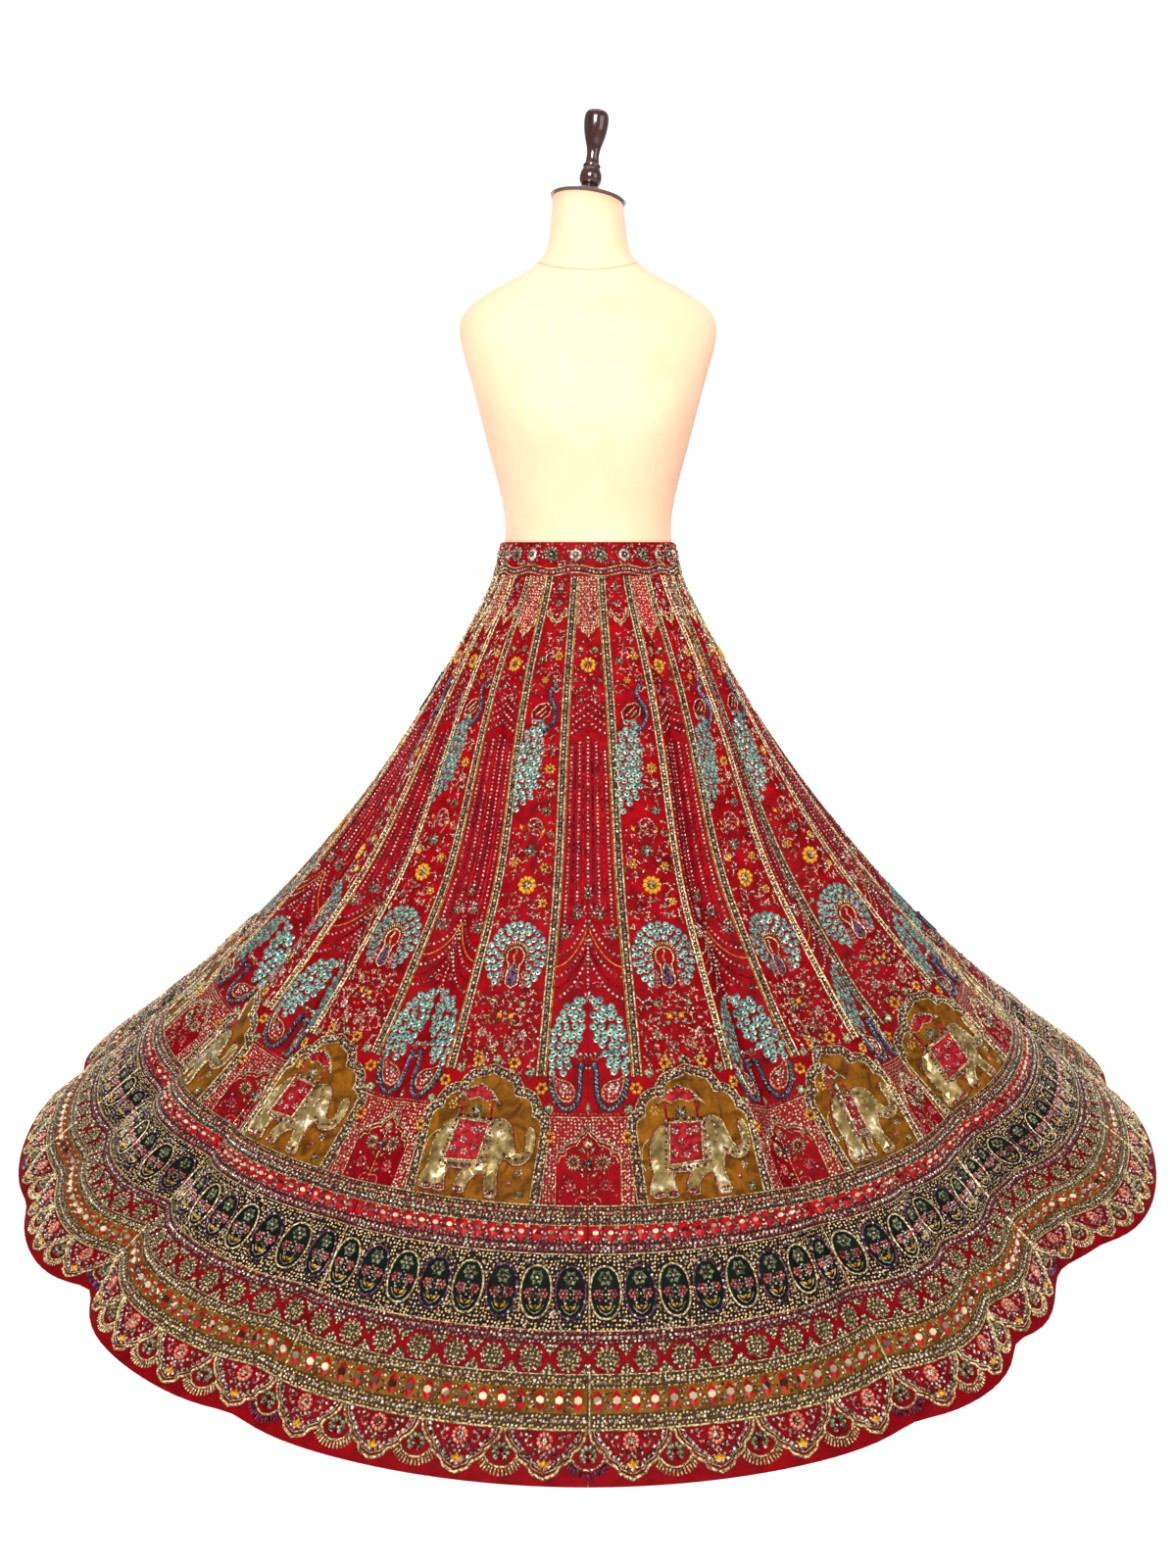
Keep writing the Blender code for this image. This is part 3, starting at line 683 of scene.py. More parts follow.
def beads(path, spacing, size, finish, height=None, lift=0.0003, shape="bead"):
    """Sews a row of beads; with more than one finish they alternate."""
    at, facing = along_path(path, spacing)
    names = [finish] if isinstance(finish, str) else finish
    facing = facing + chance.normal(0.0, 0.12, len(at))
    for number, name in enumerate(names):
        pick = slice(number, None, len(names))
        if len(at[pick]):
            put(shape, at[pick], (size, size, height or size * 0.48), name, facing[pick], lift)


# Painted glints: each bead or turn of cord is painted a random tone, from unlit dark to a painted
# highlight, for how it takes the light; with its small hammered unevenness, and its crest, by which
# shade is painted at its foot.
painted_glint, grain, end = node_group("painted_glint", "Grain", "Tone", "Relief", "Crest")
cells = node(painted_glint, "TexVoronoi", Vector=object_place(painted_glint), Scale=grain,
             Randomness=1.0).outputs
crest = node(painted_glint, "Attribute", {"attribute_name": "crest"}).outputs["Fac"]
wire(painted_glint, end, Relief=cells["Distance"], Crest=remap(painted_glint, crest, 0.08, 0.72),
     Tone=node(painted_glint, "SeparateXYZ", Vector=cells["Color"]).outputs["X"])


def sewn_finish(name, dark, bright, roughness, metallic, grain=520.0, unlit_share=0.24, foot=0.12):
    """A finish for beads, cords and sequins, with painted glints; an unlit share of them is painted
    dark, as if it caught no light.

    The foot is how much of its colour a bead keeps in the painted shade where it meets the cloth,
    which is tinted with painted red light from the velvet."""
    finishes[name], tree, shader = material(name, bright, roughness, metallic,
                                            Specular_IOR_Level=0.12)
    look = node(tree, "Group", {"node_tree": painted_glint}, Grain=grain).outputs
    # Painted glints: each cell's random tone is painted from dark to bright.
    colour = ramp(tree, look["Tone"], (unlit_share, dark), (0.95, bright))
    shade = calc(tree, "MULTIPLY_ADD", look["Crest"], 1.0 - foot, foot)
    # Painted shade at each bead's foot, darker where its crest is low, tinted with painted red
    # light from the velvet.
    under = tuple(0.25 * part + red for part, red in zip(dark, (0.022, 0.0, 0.001)))
    wire(tree, shader, Base_Color=mix(tree, shade, under, colour),
         Roughness=calc(tree, "MULTIPLY_ADD", look["Tone"], -0.18, roughness + 0.09),
         Normal=bump(tree, look["Relief"], 0.0004, 0.7))
    return name


gold = sewn_finish("gold_cord", (0.13, 0.062, 0.018), (1.0, 0.84, 0.46), 0.42, 0.15, 700.0, 0.27)
old_gold = sewn_finish("old_gold_bead", (0.06, 0.022, 0.008), (0.66, 0.50, 0.23), 0.30, 0.4,
                       unlit_share=0.30)
silver = sewn_finish("silver_bead", (0.050, 0.014, 0.010), (1.0, 0.92, 0.72), 0.24, 0.12,
                     unlit_share=0.34)
maroon = sewn_finish("maroon_bead", (0.04, 0.001, 0.003), (0.40, 0.004, 0.014), 0.3, 0.20)
crimson = sewn_finish("crimson_cord", (0.12, 0.0, 0.003), (0.60, 0.004, 0.012), 0.4, 0.1, 400.0,
                      foot=0.3)
dark_ground = sewn_finish("dark_ground", (0.012, 0.004, 0.003), (0.06, 0.02, 0.012), 0.6, 0.1)
orange = sewn_finish("orange_cord", (0.24, 0.07, 0.01), (0.78, 0.38, 0.09), 0.45, 0.3, 700.0)

for side in SIDES:
    places = np.linspace(RIB_START, RIB_END, 40)
    inner, row, outer, edge = (flat_at(MIDDLE, side * (middle_half(places) + out), places)
                               for out in (0.0010, 0.0050, 0.0090, 0.0110))
    cord(inner, gold, 0.0026, step=0.017)
    cord(outer, gold, 0.0026, step=0.017)
    cord(edge, orange, 0.0012, step=0.034)
    cord(row, dark_ground, 0.0062, height=0.0004, step=0.03)
    beads(row, 0.0046, 0.0044, (silver, old_gold), lift=0.0005)


# ---------------------------------------------------------------- the seam panels, upper part
# Under the waistband a pointed cartouche filled solid with beads, then two rosettes and a ring
# flower, four chevrons, and nine hanging strings that end in buds. Below them beads and cord
# swing in swags from the middle of the panel out to its ribs.
CARTOUCHE_TOP, CARTOUCHE_SHOULDER, CARTOUCHE_TIP = 0.045, 0.108, 0.134
CHEVRONS, STRINGS, SWAGS = 4, 9, 5
CURL_WINDS, CURL_CLOSES, CURL_REACH = 1.35 * math.tau * 0.62, 0.72, 0.37
RIM_HEIGHT = 0.30            # a padded shape's height at its edge, as a share of the whole
green = sewn_finish("green_bead", (0.012, 0.016, 0.006), (0.36, 0.40, 0.22), 0.35, 0.25, foot=0.3)
yellow = sewn_finish("yellow_silk", (0.40, 0.13, 0.004), (0.82, 0.47, 0.040), 0.5, 0.0, 620.0, 0.22,
                     0.45)
pink = sewn_finish("pink_bead", (0.14, 0.006, 0.014), (0.78, 0.20, 0.17), 0.28, 0.20, 520.0, 0.15,
                   0.35)
cream = sewn_finish("cream_bead", (0.14, 0.10, 0.05), (0.92, 0.84, 0.62), 0.3, 0.35, 520.0, 0.15,
                    0.45)


def ring(radius, count, start=0.0, stretch=1.0, sweep=math.tau):
    turns = start + sweep * np.arange(count) / (count if sweep == math.tau else count - 1)
    return np.column_stack([radius * np.cos(turns), stretch * radius * np.sin(turns)]), turns


def wheel(shape, origin, radius, count, size, finish, lift=0.0004, start=0.0, inset=1.0):
    spots, turns = ring(radius, count, start)
    put(shape, lay(spots * inset, origin), size, finish, turns - PETAL_WAY, lift)


def flower(origin, radius, petals, petal, heart, height=0.0016, round_heart=0.42, fullness=1.0,
           lift=0.0004):
    """A sewn flower: petals round a raised heart."""
    width = fullness * 2.0 * math.pi * radius * 0.62 / petals
    wheel("petal", origin, radius * 0.30, petals, (width, radius * 0.74, height), petal, lift)
    wide = radius * 2 * round_heart
    put("cone", origin, (wide, wide, height * 1.3), heart, 0.0, lift)


def ring_flower(origin, radius, petals, petal, heart):
    """A large flower: rounded petals round a heart filled with small silver beads."""
    wheel("stud", origin, radius * 0.68, petals, (radius * 0.54, radius * 0.62, 0.0026), petal)
    put("disc", origin, (radius * 0.95, radius * 0.95, 0.0016), heart)
    for far, count in ((radius * 0.30, 7), (0.0, 1)):
        put("bead", lay(ring(far, count)[0], origin), (0.0030, 0.0030, 0.0034), silver, 0.4)


def rosette(origin, radius, outer, inner, heart, count=10, height=0.0018):
    """A wheel of small beads about a raised heart, on a disc."""
    put("disc", origin, (radius * 1.9, radius * 1.9, height * 0.45), inner)
    wheel("petal", origin, radius * 0.78, count, (radius * 0.42, radius * 0.62, height), outer,
          inset=0.55)
    put("stud", origin, (radius * 0.62, radius * 0.62, height * 1.3), heart)


def leaf(origin, turn, length, width, finish, height=0.0012):
    put("petal", origin, (width, length, height), finish, turn)


def curl(origin, size, turn, hand, finish, beads_at=None):
    """A vine that runs out and winds in on itself, with a bead at its eye."""
    t = np.linspace(0.0, 1.0, 8)
    angle = CURL_WINDS * t ** 1.25
    radius = size * (1.0 - CURL_CLOSES * t)
    steps = np.column_stack([np.sin(angle) * hand, np.cos(angle)]) * radius[:, None]
    path = np.cumsum(steps, axis=0) * CURL_REACH
    placed = lay(path - path[0], origin, turn)
    cord(placed, finish, step=0.010)
    if beads_at:
        put("bead", placed[-1], (0.0040, 0.0040, 0.0024), beads_at)


def mirrored(half_line):
    """The whole of a drawing whose right half runs from its foot to its point."""
    return np.concatenate([half_line, half_line[-2::-1] * (-1, 1)])


def scatter(count, start, end, centre, half_at, size, *names):
    """Loose beads, sewn at random over a stretch of a panel."""
    down = chance.uniform(start, end, count)
    at = flat_at(centre, chance.uniform(-1.0, 1.0, count) * (half_at(down) - 0.001), down)
    kinds = chance.integers(0, len(names), count)
    turn = chance.uniform(0.0, math.pi, count)
    big = size * chance.uniform(0.75, 1.2, count)
    for number, name in enumerate(names):
        pick = kinds == number
        if pick.any():
            put("bead", at[pick], np.column_stack([big, big, big * 0.6])[pick], name, turn[pick])


def sprinkle(at, size, lift, names):
    """Beads at given places, in each finish by turn, every one turned by chance."""
    for number, name in enumerate(names):
        chosen = at[number::len(names)]
        put("bead", chosen, size, name, chance.uniform(0.0, 1.5, len(chosen)), lift)


def filled(outline, origin, finish, height, rim, cut=0.012, lift=0.0003, scale=1.0):
    """A padded shape: its outline's face, cut into cells that follow the cloth, and raised."""
    bm = bmesh.new()
    outline = np.asarray(outline, float)
    bm.faces.new([bm.verts.new((x, y, 0.0)) for x, y in outline])
    low, high = outline.min(0), outline.max(0)
    for axis in range(2):
        for place in np.arange(low[axis] + cut, high[axis] - cut * 0.3, cut):
            bmesh.ops.bisect_plane(bm, geom=bm.verts[:] + bm.edges[:] + bm.faces[:], dist=1e-6,
                                   plane_co=np.eye(3)[axis] * place, plane_no=np.eye(3)[axis])
    bmesh.ops.triangulate(bm, faces=[face for face in bm.faces if len(face.verts) > 4])
    if bm.faces[:][0].normal.z < 0.0 or sum(face.normal.z for face in bm.faces) < 0.0:
        bmesh.ops.reverse_faces(bm, faces=bm.faces)
    grown = bmesh.ops.extrude_face_region(bm, geom=list(bm.faces), use_keep_orig=True)["geom"]
    edge = np.roll(outline, -1, axis=0) - outline
    for vert in points_of(grown):
        away = np.array(vert.co[:2]) - outline
        t = np.clip((away * edge).sum(1) / (edge ** 2).sum(1).clip(1e-12), 0.0, 1.0)
        off = float(np.linalg.norm(away - edge * t[:, None], axis=1).min())
        rise = min(1.0, off / rim) if rim else 1.0
        full = math.sqrt(1.0 - (1.0 - rise) ** 2)
        vert.co.z = height * (RIM_HEIGHT + (1.0 - RIM_HEIGHT) * full)
    outwards(bm)
    points, faces = points_and_faces(bm)
    sew(np.column_stack([lay(points[:, :2], origin, scale=scale), points[:, 2] + lift,
                         points[:, 2] > 0.0]), faces, finish)


def smooth_line(points, cuts, closed=True):
    """A soft curve through points."""
    points = np.asarray(points, float)
    ends = points if closed else np.concatenate([points[:1], points, points[[-1, -1]]])
    before, after, beyond = ((np.roll(ends, shift, 0) for shift in (1, -1, -2)) if closed
                             else (ends[:-3], ends[2:-1], ends[3:]))
    t = (np.arange(cuts) / cuts)[:, None, None]
    curve = 0.5 * (2 * points + (after - before) * t
                   + (2 * before - 5 * points + 4 * after - beyond) * t ** 2
                   + (3 * points - before - 3 * after + beyond) * t ** 3)
    curve = curve.transpose(1, 0, 2).reshape(-1, 2)
    return curve if closed else np.concatenate([curve[:(len(points) - 1) * cuts], points[-1:]])


def close_path(path):
    return np.concatenate([path, path[:1]])


def band_between(inner, outer, finish, height=0.0009):
    """A flat band of sewn work between two placed lines of equal counts."""
    count = len(inner)
    flat = np.concatenate([inner, outer])
    points = np.concatenate([np.column_stack([flat, np.tile(ends, (2 * count, 1))])
                             for ends in ((height, 1.0), (0.0002, 0.0))])
    first = np.arange(count - 1)[:, None]
    top = first + (0, 1, 1 + count, count)
    blocks = [top, top[:, ::-1] + 2 * count, first + (2 * count, 1 + 2 * count, 1, 0),
              first + (count, 1 + count, 1 + 3 * count, 3 * count),
              np.array([[0, count, 3 * count, 2 * count],
                        [count - 1, 3 * count - 1, 4 * count - 1, 2 * count - 1]])]
    spots = unrolled(flat)
    along, over = spots[top[:, 1]] - spots[top[:, 0]], spots[top[:, 2]] - spots[top[:, 0]]
    if (along[:, 0] * over[:, 1] - along[:, 1] * over[:, 0]).sum() < 0.0:
        blocks = [block[:, ::-1] for block in blocks]
    sew(points, blocks, finish)


# Small beads sewn side by side: each one's tone, its domed top, and the gap round it.
bead_cells, beads_a_metre, end = node_group("bead_cells", "Beads a metre", "Tone", "Dome", "Gap")
cells = node(bead_cells, "TexVoronoi", {"voronoi_dimensions": "2D"}, Scale=beads_a_metre,
             Vector=node(bead_cells, "UVMap", {"uv_map": "flat"}).outputs["UV"],
             Randomness=0.55).outputs
wire(bead_cells, end, Tone=node(bead_cells, "SeparateXYZ", Vector=cells["Color"]).outputs["X"],
     Dome=remap(bead_cells, cells["Distance"], 0.0, 0.55, 1.0, 0.0),
     Gap=remap(bead_cells, cells["Distance"], 0.18, 0.32))


def bead_work(name, ground, beads_a_metre, *stops):
    """A field sewn solid with small beads: each cell is one bead on the coloured ground."""
    finishes[name], tree, shader = material(name, ground, 0.35, 0.55, Specular_IOR_Level=0.15)
    look = node(tree, "Group", {"node_tree": bead_cells}, Beads_a_metre=beads_a_metre).outputs
    wire(tree, shader, Base_Color=mix(tree, look["Gap"], ramp(tree, look["Tone"], *stops), ground),
         Roughness=calc(tree, "MULTIPLY_ADD", look["Gap"], 0.35, 0.28),
         Metallic=calc(tree, "MULTIPLY_ADD", look["Gap"], -0.35, 0.40),
         Normal=bump(tree, look["Dome"], 0.0012, 0.9))
    return name


SILVER, GOLD, DULL_GOLD = (0.92, 0.77, 0.53), (0.74, 0.54, 0.25), (0.25, 0.14, 0.05)
MAROON, PINK = (0.21, 0.005, 0.015), (0.60, 0.13, 0.13)


def cartouche(centre, half_at, shoulder, tip):
    """The scalloped foot of the work that hangs under the band, as a double gold cord."""
    half = half_at(shoulder) - 0.0015
    line = np.array([(1.0, 0.0), (0.93, -0.35), (0.72, -0.42), (0.60, -0.36), (0.52, -0.62),
                     (0.30, -0.72), (0.18, -0.70), (0.0, -1.0)]) * (half, tip - shoulder)
    for inset in (0.0, 0.0030):
        cord(lay(mirrored(line) * (1.0 - inset / half, 1.0) + (0.0, inset * 1.2),
                 (centre, 0.0, shoulder)), gold, 0.0024)
    return mirrored(line)


seed_work = bead_work("seed_work", (0.30, 0.0, 0.003), 250.0, (0.0, MAROON),
                      (0.30, (0.95, 0.80, 0.50)), (0.45, MAROON), (0.62, SILVER),
                      (0.75, (0.50, 0.0, 0.006)), (1.0, SILVER))
foot_line = cartouche(SEAM, seam_half, CARTOUCHE_SHOULDER, CARTOUCHE_TIP)
places = np.linspace(CARTOUCHE_TOP + 0.001, CARTOUCHE_SHOULDER, 6)
right, left = (flat_at(SEAM, side * (seam_half(places) - 0.0005), places) for side in (1, -1))
band_between(right, left, seed_work, 0.0006)
filled(foot_line * 0.94, (SEAM, 0.0, CARTOUCHE_SHOULDER), seed_work, 0.0006, 0.0, cut=0.03)
for number, down in enumerate(np.arange(0.050, 0.126, 0.0052)):
    reach = float(seam_half(down))
    reach = reach - 0.001 if down < CARTOUCHE_SHOULDER else reach * (0.132 - down) / 0.03
    if reach > 0.002:
        at = flat_at(SEAM, np.arange(-reach + 0.0028 * (number % 2), reach, 0.0058), down)
        at[:, 1:] += chance.normal(0.0, 0.0006, (len(at), 2))
        for pick, name in enumerate((silver, gold, silver)):
            chosen = at[(np.arange(len(at)) + number) % 3 == pick]
            put("bead", chosen, (0.0034, 0.0046, 0.0020), name,
                chance.uniform(0.2, 1.2, len(chosen)), 0.0006)
for side in SIDES:
    rosette((SEAM, side * 0.0095, 0.150), 0.0048, green, old_gold, silver)
    leaf((SEAM, side * 0.0125, 0.190), side * -2.3, 0.009, 0.005, green)
    leaf((SEAM, side * 0.0065, 0.200), side * -2.7, 0.010, 0.005, green)
    curl((SEAM, side * 0.004, 0.215), 0.016, side * -0.9, side, pink, silver)
    curl((SEAM, side * 0.016, 0.178), 0.012, side * 0.4, side, pink, silver)
ring_flower((SEAM, 0.0, 0.172), 0.0112, 10, yellow, maroon)
scatter(56, 0.134, 0.222, SEAM, seam_half, 0.0030, silver, pink, silver)

for number in range(CHEVRONS):
    down = 0.217 + 0.0115 * number
    half = float(seam_half(down)) - 0.0015
    path = lay([(-half, -0.017), (0.0, 0.0), (half, -0.017)], (SEAM, 0.0, down))
    beads(path, 0.0062, 0.0036, silver, lift=0.0006)
    for lower in (-0.0033, 0.0033):
        cord(path + (0.0, 0.0, lower), crimson, 0.0018, height=0.0010)

for number in range(STRINGS):                             # the hanging strings and their buds
    out = (number - (STRINGS - 1) / 2.0) / ((STRINGS + 1) / 2.0)
    places = np.linspace(0.270 + 0.017 * abs(out), 0.478 + 0.062 * abs(out) + 0.010 * (number % 2),
                         20)
    path = flat_at(SEAM, out * seam_half(places), places)
    if number % 2 == 0:
        beads(path, 0.0052, 0.0034, silver, height=0.0012)
    else:
        cord(path, (crimson, maroon)[number % 4 == 1], 0.0026, 0.0008, 0.02)
    foot = path[-1]
    flower(foot, 0.0058, 6, (green, pink)[number % 2], silver, 0.0020)
    for side in SIDES:
        leaf(foot + (0.0, side * 0.0015, -0.005), side * -0.5, 0.007, 0.0026, silver, 0.0022)

for side in SIDES:                                        # the swags, and the line they hang from
    for number in range(SWAGS):
        t = np.linspace(0.0, 1.0, 12)
        down = 0.507 + 0.0115 * number + (0.046 + 0.001 * number) * (1.0 - (1.0 - t) ** 1.7)
        path = flat_at(SEAM, side * (0.001 + (seam_half(down) - 0.002) * t ** 1.1), down)
        if number % 2 == 0:
            beads(path, 0.0060, 0.0036, silver)
        else:
            cord(path, (orange, maroon)[number > 1], 0.0019)
beads(lay([(0.0, 0.0), (0.0, -0.066)], (SEAM, 0.0, 0.526)), 0.0048, 0.0034, silver)
flower((SEAM, 0.0, 0.600), 0.0065, 5, silver, pink)
for side in SIDES:
    curl((SEAM, side * 0.003, 0.604), 0.018, side * -1.1, side, pink, pink)
    curl((SEAM, side * 0.005, 0.585), 0.012, side * -0.5, side, pink, pink)
    leaf((SEAM, side * 0.004, 0.618), side * -2.4, 0.014, 0.006, green)


# ---------------------------------------------------------------- the middle panels
# Above, a small cartouche and scrolling vines; then a peacock with a hanging tail of sequins,
# vines with a ring flower, and a peacock with its fan spread. Cords are couched, petals and
# leaves are laid silk and cut bead, and each eye of a tail is a turquoise sequin under a bead.
TAIL_ROWS, TAIL_TOP, TAIL_STEP = 16, 0.2535, 0.0078
TAIL_SPACING, TAIL_STAGGER = 0.0086, 0.0021
FAN_MIDDLE = (MIDDLE, 0.0, 0.556)
turquoise = sewn_finish("turquoise", (0.015, 0.11, 0.12), (0.24, 0.62, 0.51), 0.25, 0.15, 300.0,
                        0.15, 0.40)
navy = sewn_finish("navy_cord", (0.004, 0.008, 0.016), (0.09, 0.15, 0.22), 0.3, 0.3, 500.0)
black = sewn_finish("dark_bead", (0.006, 0.004, 0.005), (0.08, 0.045, 0.035), 0.2, 0.4)
purple = sewn_finish("purple_bead", (0.02, 0.005, 0.016), (0.24, 0.09, 0.17), 0.25, 0.3)


def tenths(*points):
    """A drawing's points, given in tenths of a millimetre."""
    return np.array(points) / 1e4


def eyes(at, size=0.0088):
    """Sequins of a peacock's tail: a turquoise cup, a pale bead low in it and a dark pupil."""
    low = at + (0.0, 0.0, size * 0.12)
    put("cone", at, (size, size, size * 0.16), turquoise, 0.3)
    put("cone", low, (size * 0.78, size * 0.72, size * 0.10), cream, 0.3, size * 0.08)
    put("bead", low, (size * 0.34, size * 0.32, size * 0.12), black, 0.8, size * 0.13)


def neck(path, step, spacing, head):
    """A peacock's head, and its neck: a rope of navy cord under slanting silver bugles."""
    cord(path, navy, 0.0062, 0.0034, step)
    at, facing = along_path(path, spacing)
    put("bead", at, (0.0015, 0.0052, 0.0015), silver, facing + 0.9, 0.0024)
    put("stud", path[0], head, navy)


def peacock_crest(origin, leans, stalk, bead):
    """Beads at the ends of thin stalks."""
    for lean in leans:
        line = lay([(0.0, end) for end in stalk], origin, lean)
        cord(line, old_gold, 0.0009)
        put("bead", line[-1], bead, silver)


def sprig(origin, turn, size):
    """A stem with three small petals at its end."""
    stem = lay([(0.0, -size * 0.5), (0.0, size * 0.1)], origin, turn)
    cord(stem, gold, 0.0011)
    for name, lean in ((silver, -1.0), (pink, 0.0), (silver, 1.0)):
        put("petal", stem[1], (size * 0.30, size * 0.44, 0.0015), name, turn + lean)


def fill_with_sprigs(count, start, end, size, *clear):
    """Sprigs in the gaps of the middle panel, each clear of its neighbours."""
    taken = list(clear)
    for _try in range(count * 12):
        down = chance.uniform(start, end)
        across = chance.uniform(-1.0, 1.0) * (middle_half(down) - size * 0.45)
        turn = chance.uniform(0.0, math.tau)
        if all(math.hypot(across - x, down - y) > r + size * 0.375 for x, y, r in taken):
            taken.append((across, down, size * 0.5))
            sprig((MIDDLE, across, down), turn, size)
            if len(taken) - len(clear) >= count:
                return


cartouche(MIDDLE, middle_half, 0.094, 0.118)
for down in (0.060, 0.084):
    flower((MIDDLE, 0.0, down), 0.0058, 6, silver, pink)
    for side in SIDES:
        curl((MIDDLE, side * 0.003, down + 0.008), 0.010, side * -1.2, side, pink)
scatter(34, 0.048, 0.102, MIDDLE, middle_half, 0.0030, silver, pink, silver)

for number, (share, down, size, way, hand) in enumerate((
        # across as a share of the half width, down, size, way in degrees, hand
        (-0.10, 0.206, 0.024, 20, -1), (0.10, 0.186, 0.020, -30, 1), (-0.25, 0.168, 0.018, 40, 1),
        (0.30, 0.160, 0.016, -60, -1), (0.00, 0.140, 0.015, 10, 1), (0.45, 0.200, 0.014, -80, 1),
        (0.35, 0.352, 0.020, 15, 1), (0.55, 0.330, 0.016, -20, -1), (0.30, 0.385, 0.020, 35, -1),
        (-0.20, 0.408, 0.022, 60, 1), (0.25, 0.412, 0.022, -55, -1), (-0.35, 0.440, 0.020, 15, -1),
        (0.40, 0.446, 0.020, -20, 1), (-0.15, 0.492, 0.020, 150, 1), (0.15, 0.492, 0.020, -150, -1),
        (0.60, 0.398, 0.014, -60, 1), (-0.62, 0.424, 0.014, 70, -1))):
    curl((MIDDLE, share * float(middle_half(down)), down), size, math.radians(way), hand,
         (old_gold, pink, cream)[number % 3], (silver, pink)[number % 2])
flower((MIDDLE, -0.010, 0.166), 0.0055, 7, green, silver)
flower((MIDDLE, 0.011, 0.160), 0.0062, 6, yellow, silver, 0.002)
flower((MIDDLE, -0.003, 0.194), 0.0050, 6, yellow, silver, 0.002)

NECK = tenths((135, 2040), (85, 2055), (62, 2110), (78, 2190), (122, 2270), (158, 2350),
              (168, 2440), (138, 2530), (82, 2600), (10, 2660))
neck(flat_at(MIDDLE, *NECK.T), 0.005, 0.0040, (0.0085, 0.0070, 0.0036))
leaf((MIDDLE, 0.0160, 0.2045), math.radians(-105.0), 0.0065, 0.0026, gold)
peacock_crest((MIDDLE, 0.013, 0.202), (-0.5, 0.0, 0.5), (0.002, 0.008), (0.0036, 0.0036, 0.002))
WING = tenths((-115, -55), (-85, 35), (0, 75), (80, 60), (100, 0), (55, -60), (-30, -80))
WING_MIDDLE = (MIDDLE, -0.0030, 0.2385)
for outset, name, width in ((1.40, gold, 0.0020), (1.10, maroon, 0.0026)):
    cord(close_path(lay(WING * outset, WING_MIDDLE, math.radians(25.0))), name, width)
for aside, reach, name in ((-0.0042, 0.0062, gold), (-0.0014, 0.0095, maroon),
                           (0.0014, 0.0090, gold), (0.0042, 0.0070, maroon)):
    cord(lay([(-reach, aside - 0.001), (reach, aside + 0.001)], WING_MIDDLE,
             math.radians(38.0)), name, 0.0021)
for row in range(TAIL_ROWS):
    share = row / (TAIL_ROWS - 1)            # the tail widens at once and ends in a point
    left = -0.0090 - 0.0165 * min(1.0, share * 3.0) ** 0.7 - 0.002 * share
    right = 0.0010 - 0.0045 * share - 0.013 * max(0.0, share - 0.72) / 0.28
    count = max(1, int(round((right - left) / TAIL_SPACING)) + 1 - (share > 0.93))
    spots = np.linspace(left, right, count) + (TAIL_STAGGER if row % 2 else -TAIL_STAGGER)
    spots += chance.normal(0.0, 0.0007, count)
    eyes(flat_at(MIDDLE, spots, TAIL_TOP + row * TAIL_STEP + chance.normal(0.0, 0.0009, count)),
         0.0090)
flower((MIDDLE, 0.0155, 0.316), 0.0074, 8, yellow, silver, 0.0022)
flower((MIDDLE, 0.0175, 0.336), 0.0062, 7, cream, pink)
flower((MIDDLE, 0.0155, 0.372), 0.0066, 7, green, silver)
flower((MIDDLE, 0.0170, 0.286), 0.0048, 5, pink, silver)
fill_with_sprigs(22, 0.262, 0.388, 0.0084,
                 *((-0.013 - 0.001 * k, 0.252 + 0.015 * k, 0.0160) for k in range(9)),
                 (0.0145, 0.316, 0.009), (0.0175, 0.336, 0.007), (0.0155, 0.372, 0.007))
fill_with_sprigs(14, 0.118, 0.198, 0.0084,
                 (-0.010, 0.166, 0.006), (0.011, 0.160, 0.006), (-0.003, 0.194, 0.005))

flower((MIDDLE, -0.001, 0.424), 0.0085, 8, green, silver, 0.0020)
rosette((MIDDLE, -0.001, 0.424), 0.0032, silver, black, silver, 6)
ring_flower((MIDDLE, 0.0, 0.4675), 0.0124, 10, yellow, old_gold)
for across, down in ((-0.020, 0.441), (0.019, 0.444), (0.023, 0.489)):
    flower((MIDDLE, across, down), 0.0056, 6, yellow, silver, 0.0020)
for across, down, turn in ((-0.014, 0.398, 0.4), (0.012, 0.402, -0.4)):
    leaf((MIDDLE, across, down), turn, 0.0080, 0.0040, yellow)
scatter(30, 0.118, 0.232, MIDDLE, middle_half, 0.0028, silver, pink, green)
scatter(60, 0.385, 0.512, MIDDLE, middle_half, 0.0030, silver, pink, green)
scatter(90, 0.602, 0.690, MIDDLE, middle_half, 0.0032, silver, gold, pink)
fill_with_sprigs(30, 0.392, 0.506, 0.0086, (-0.001, 0.424, 0.009), (0.0, 0.4675, 0.013),
                 (-0.020, 0.441, 0.006), (0.019, 0.444, 0.006), (0.023, 0.489, 0.006))

for radius, count, stagger in ((0.0208, 12, 0.0), (0.0276, 16, 6.0), (0.0342, 21, 0.0)):
    spots = ring(radius, count, math.radians(stagger - 52.0), 1.16,
                 math.radians(284.0 - 2.0 * stagger))[0]       # the spread fan
    eyes(lay(spots + chance.normal(0.0, 0.0005, spots.shape), FAN_MIDDLE))
spots, turns = ring(0.0158, 21, math.radians(-20.0), 1.10, math.radians(220.0))
put("petal", lay(spots * 0.80, FAN_MIDDLE), (0.0022, 0.0060, 0.0014), gold, turns - PETAL_WAY)
put("bead", lay(spots * 1.06, FAN_MIDDLE), (0.0026, 0.0026, 0.0014), silver)
t = np.linspace(math.radians(-52.0), math.radians(232.0), 17)
arch = np.column_stack([0.0108 * np.cos(t), 0.0120 * np.sin(t)])
arch = np.concatenate([[(0.0075, -0.030)], arch, [(-0.0075, -0.030)]])
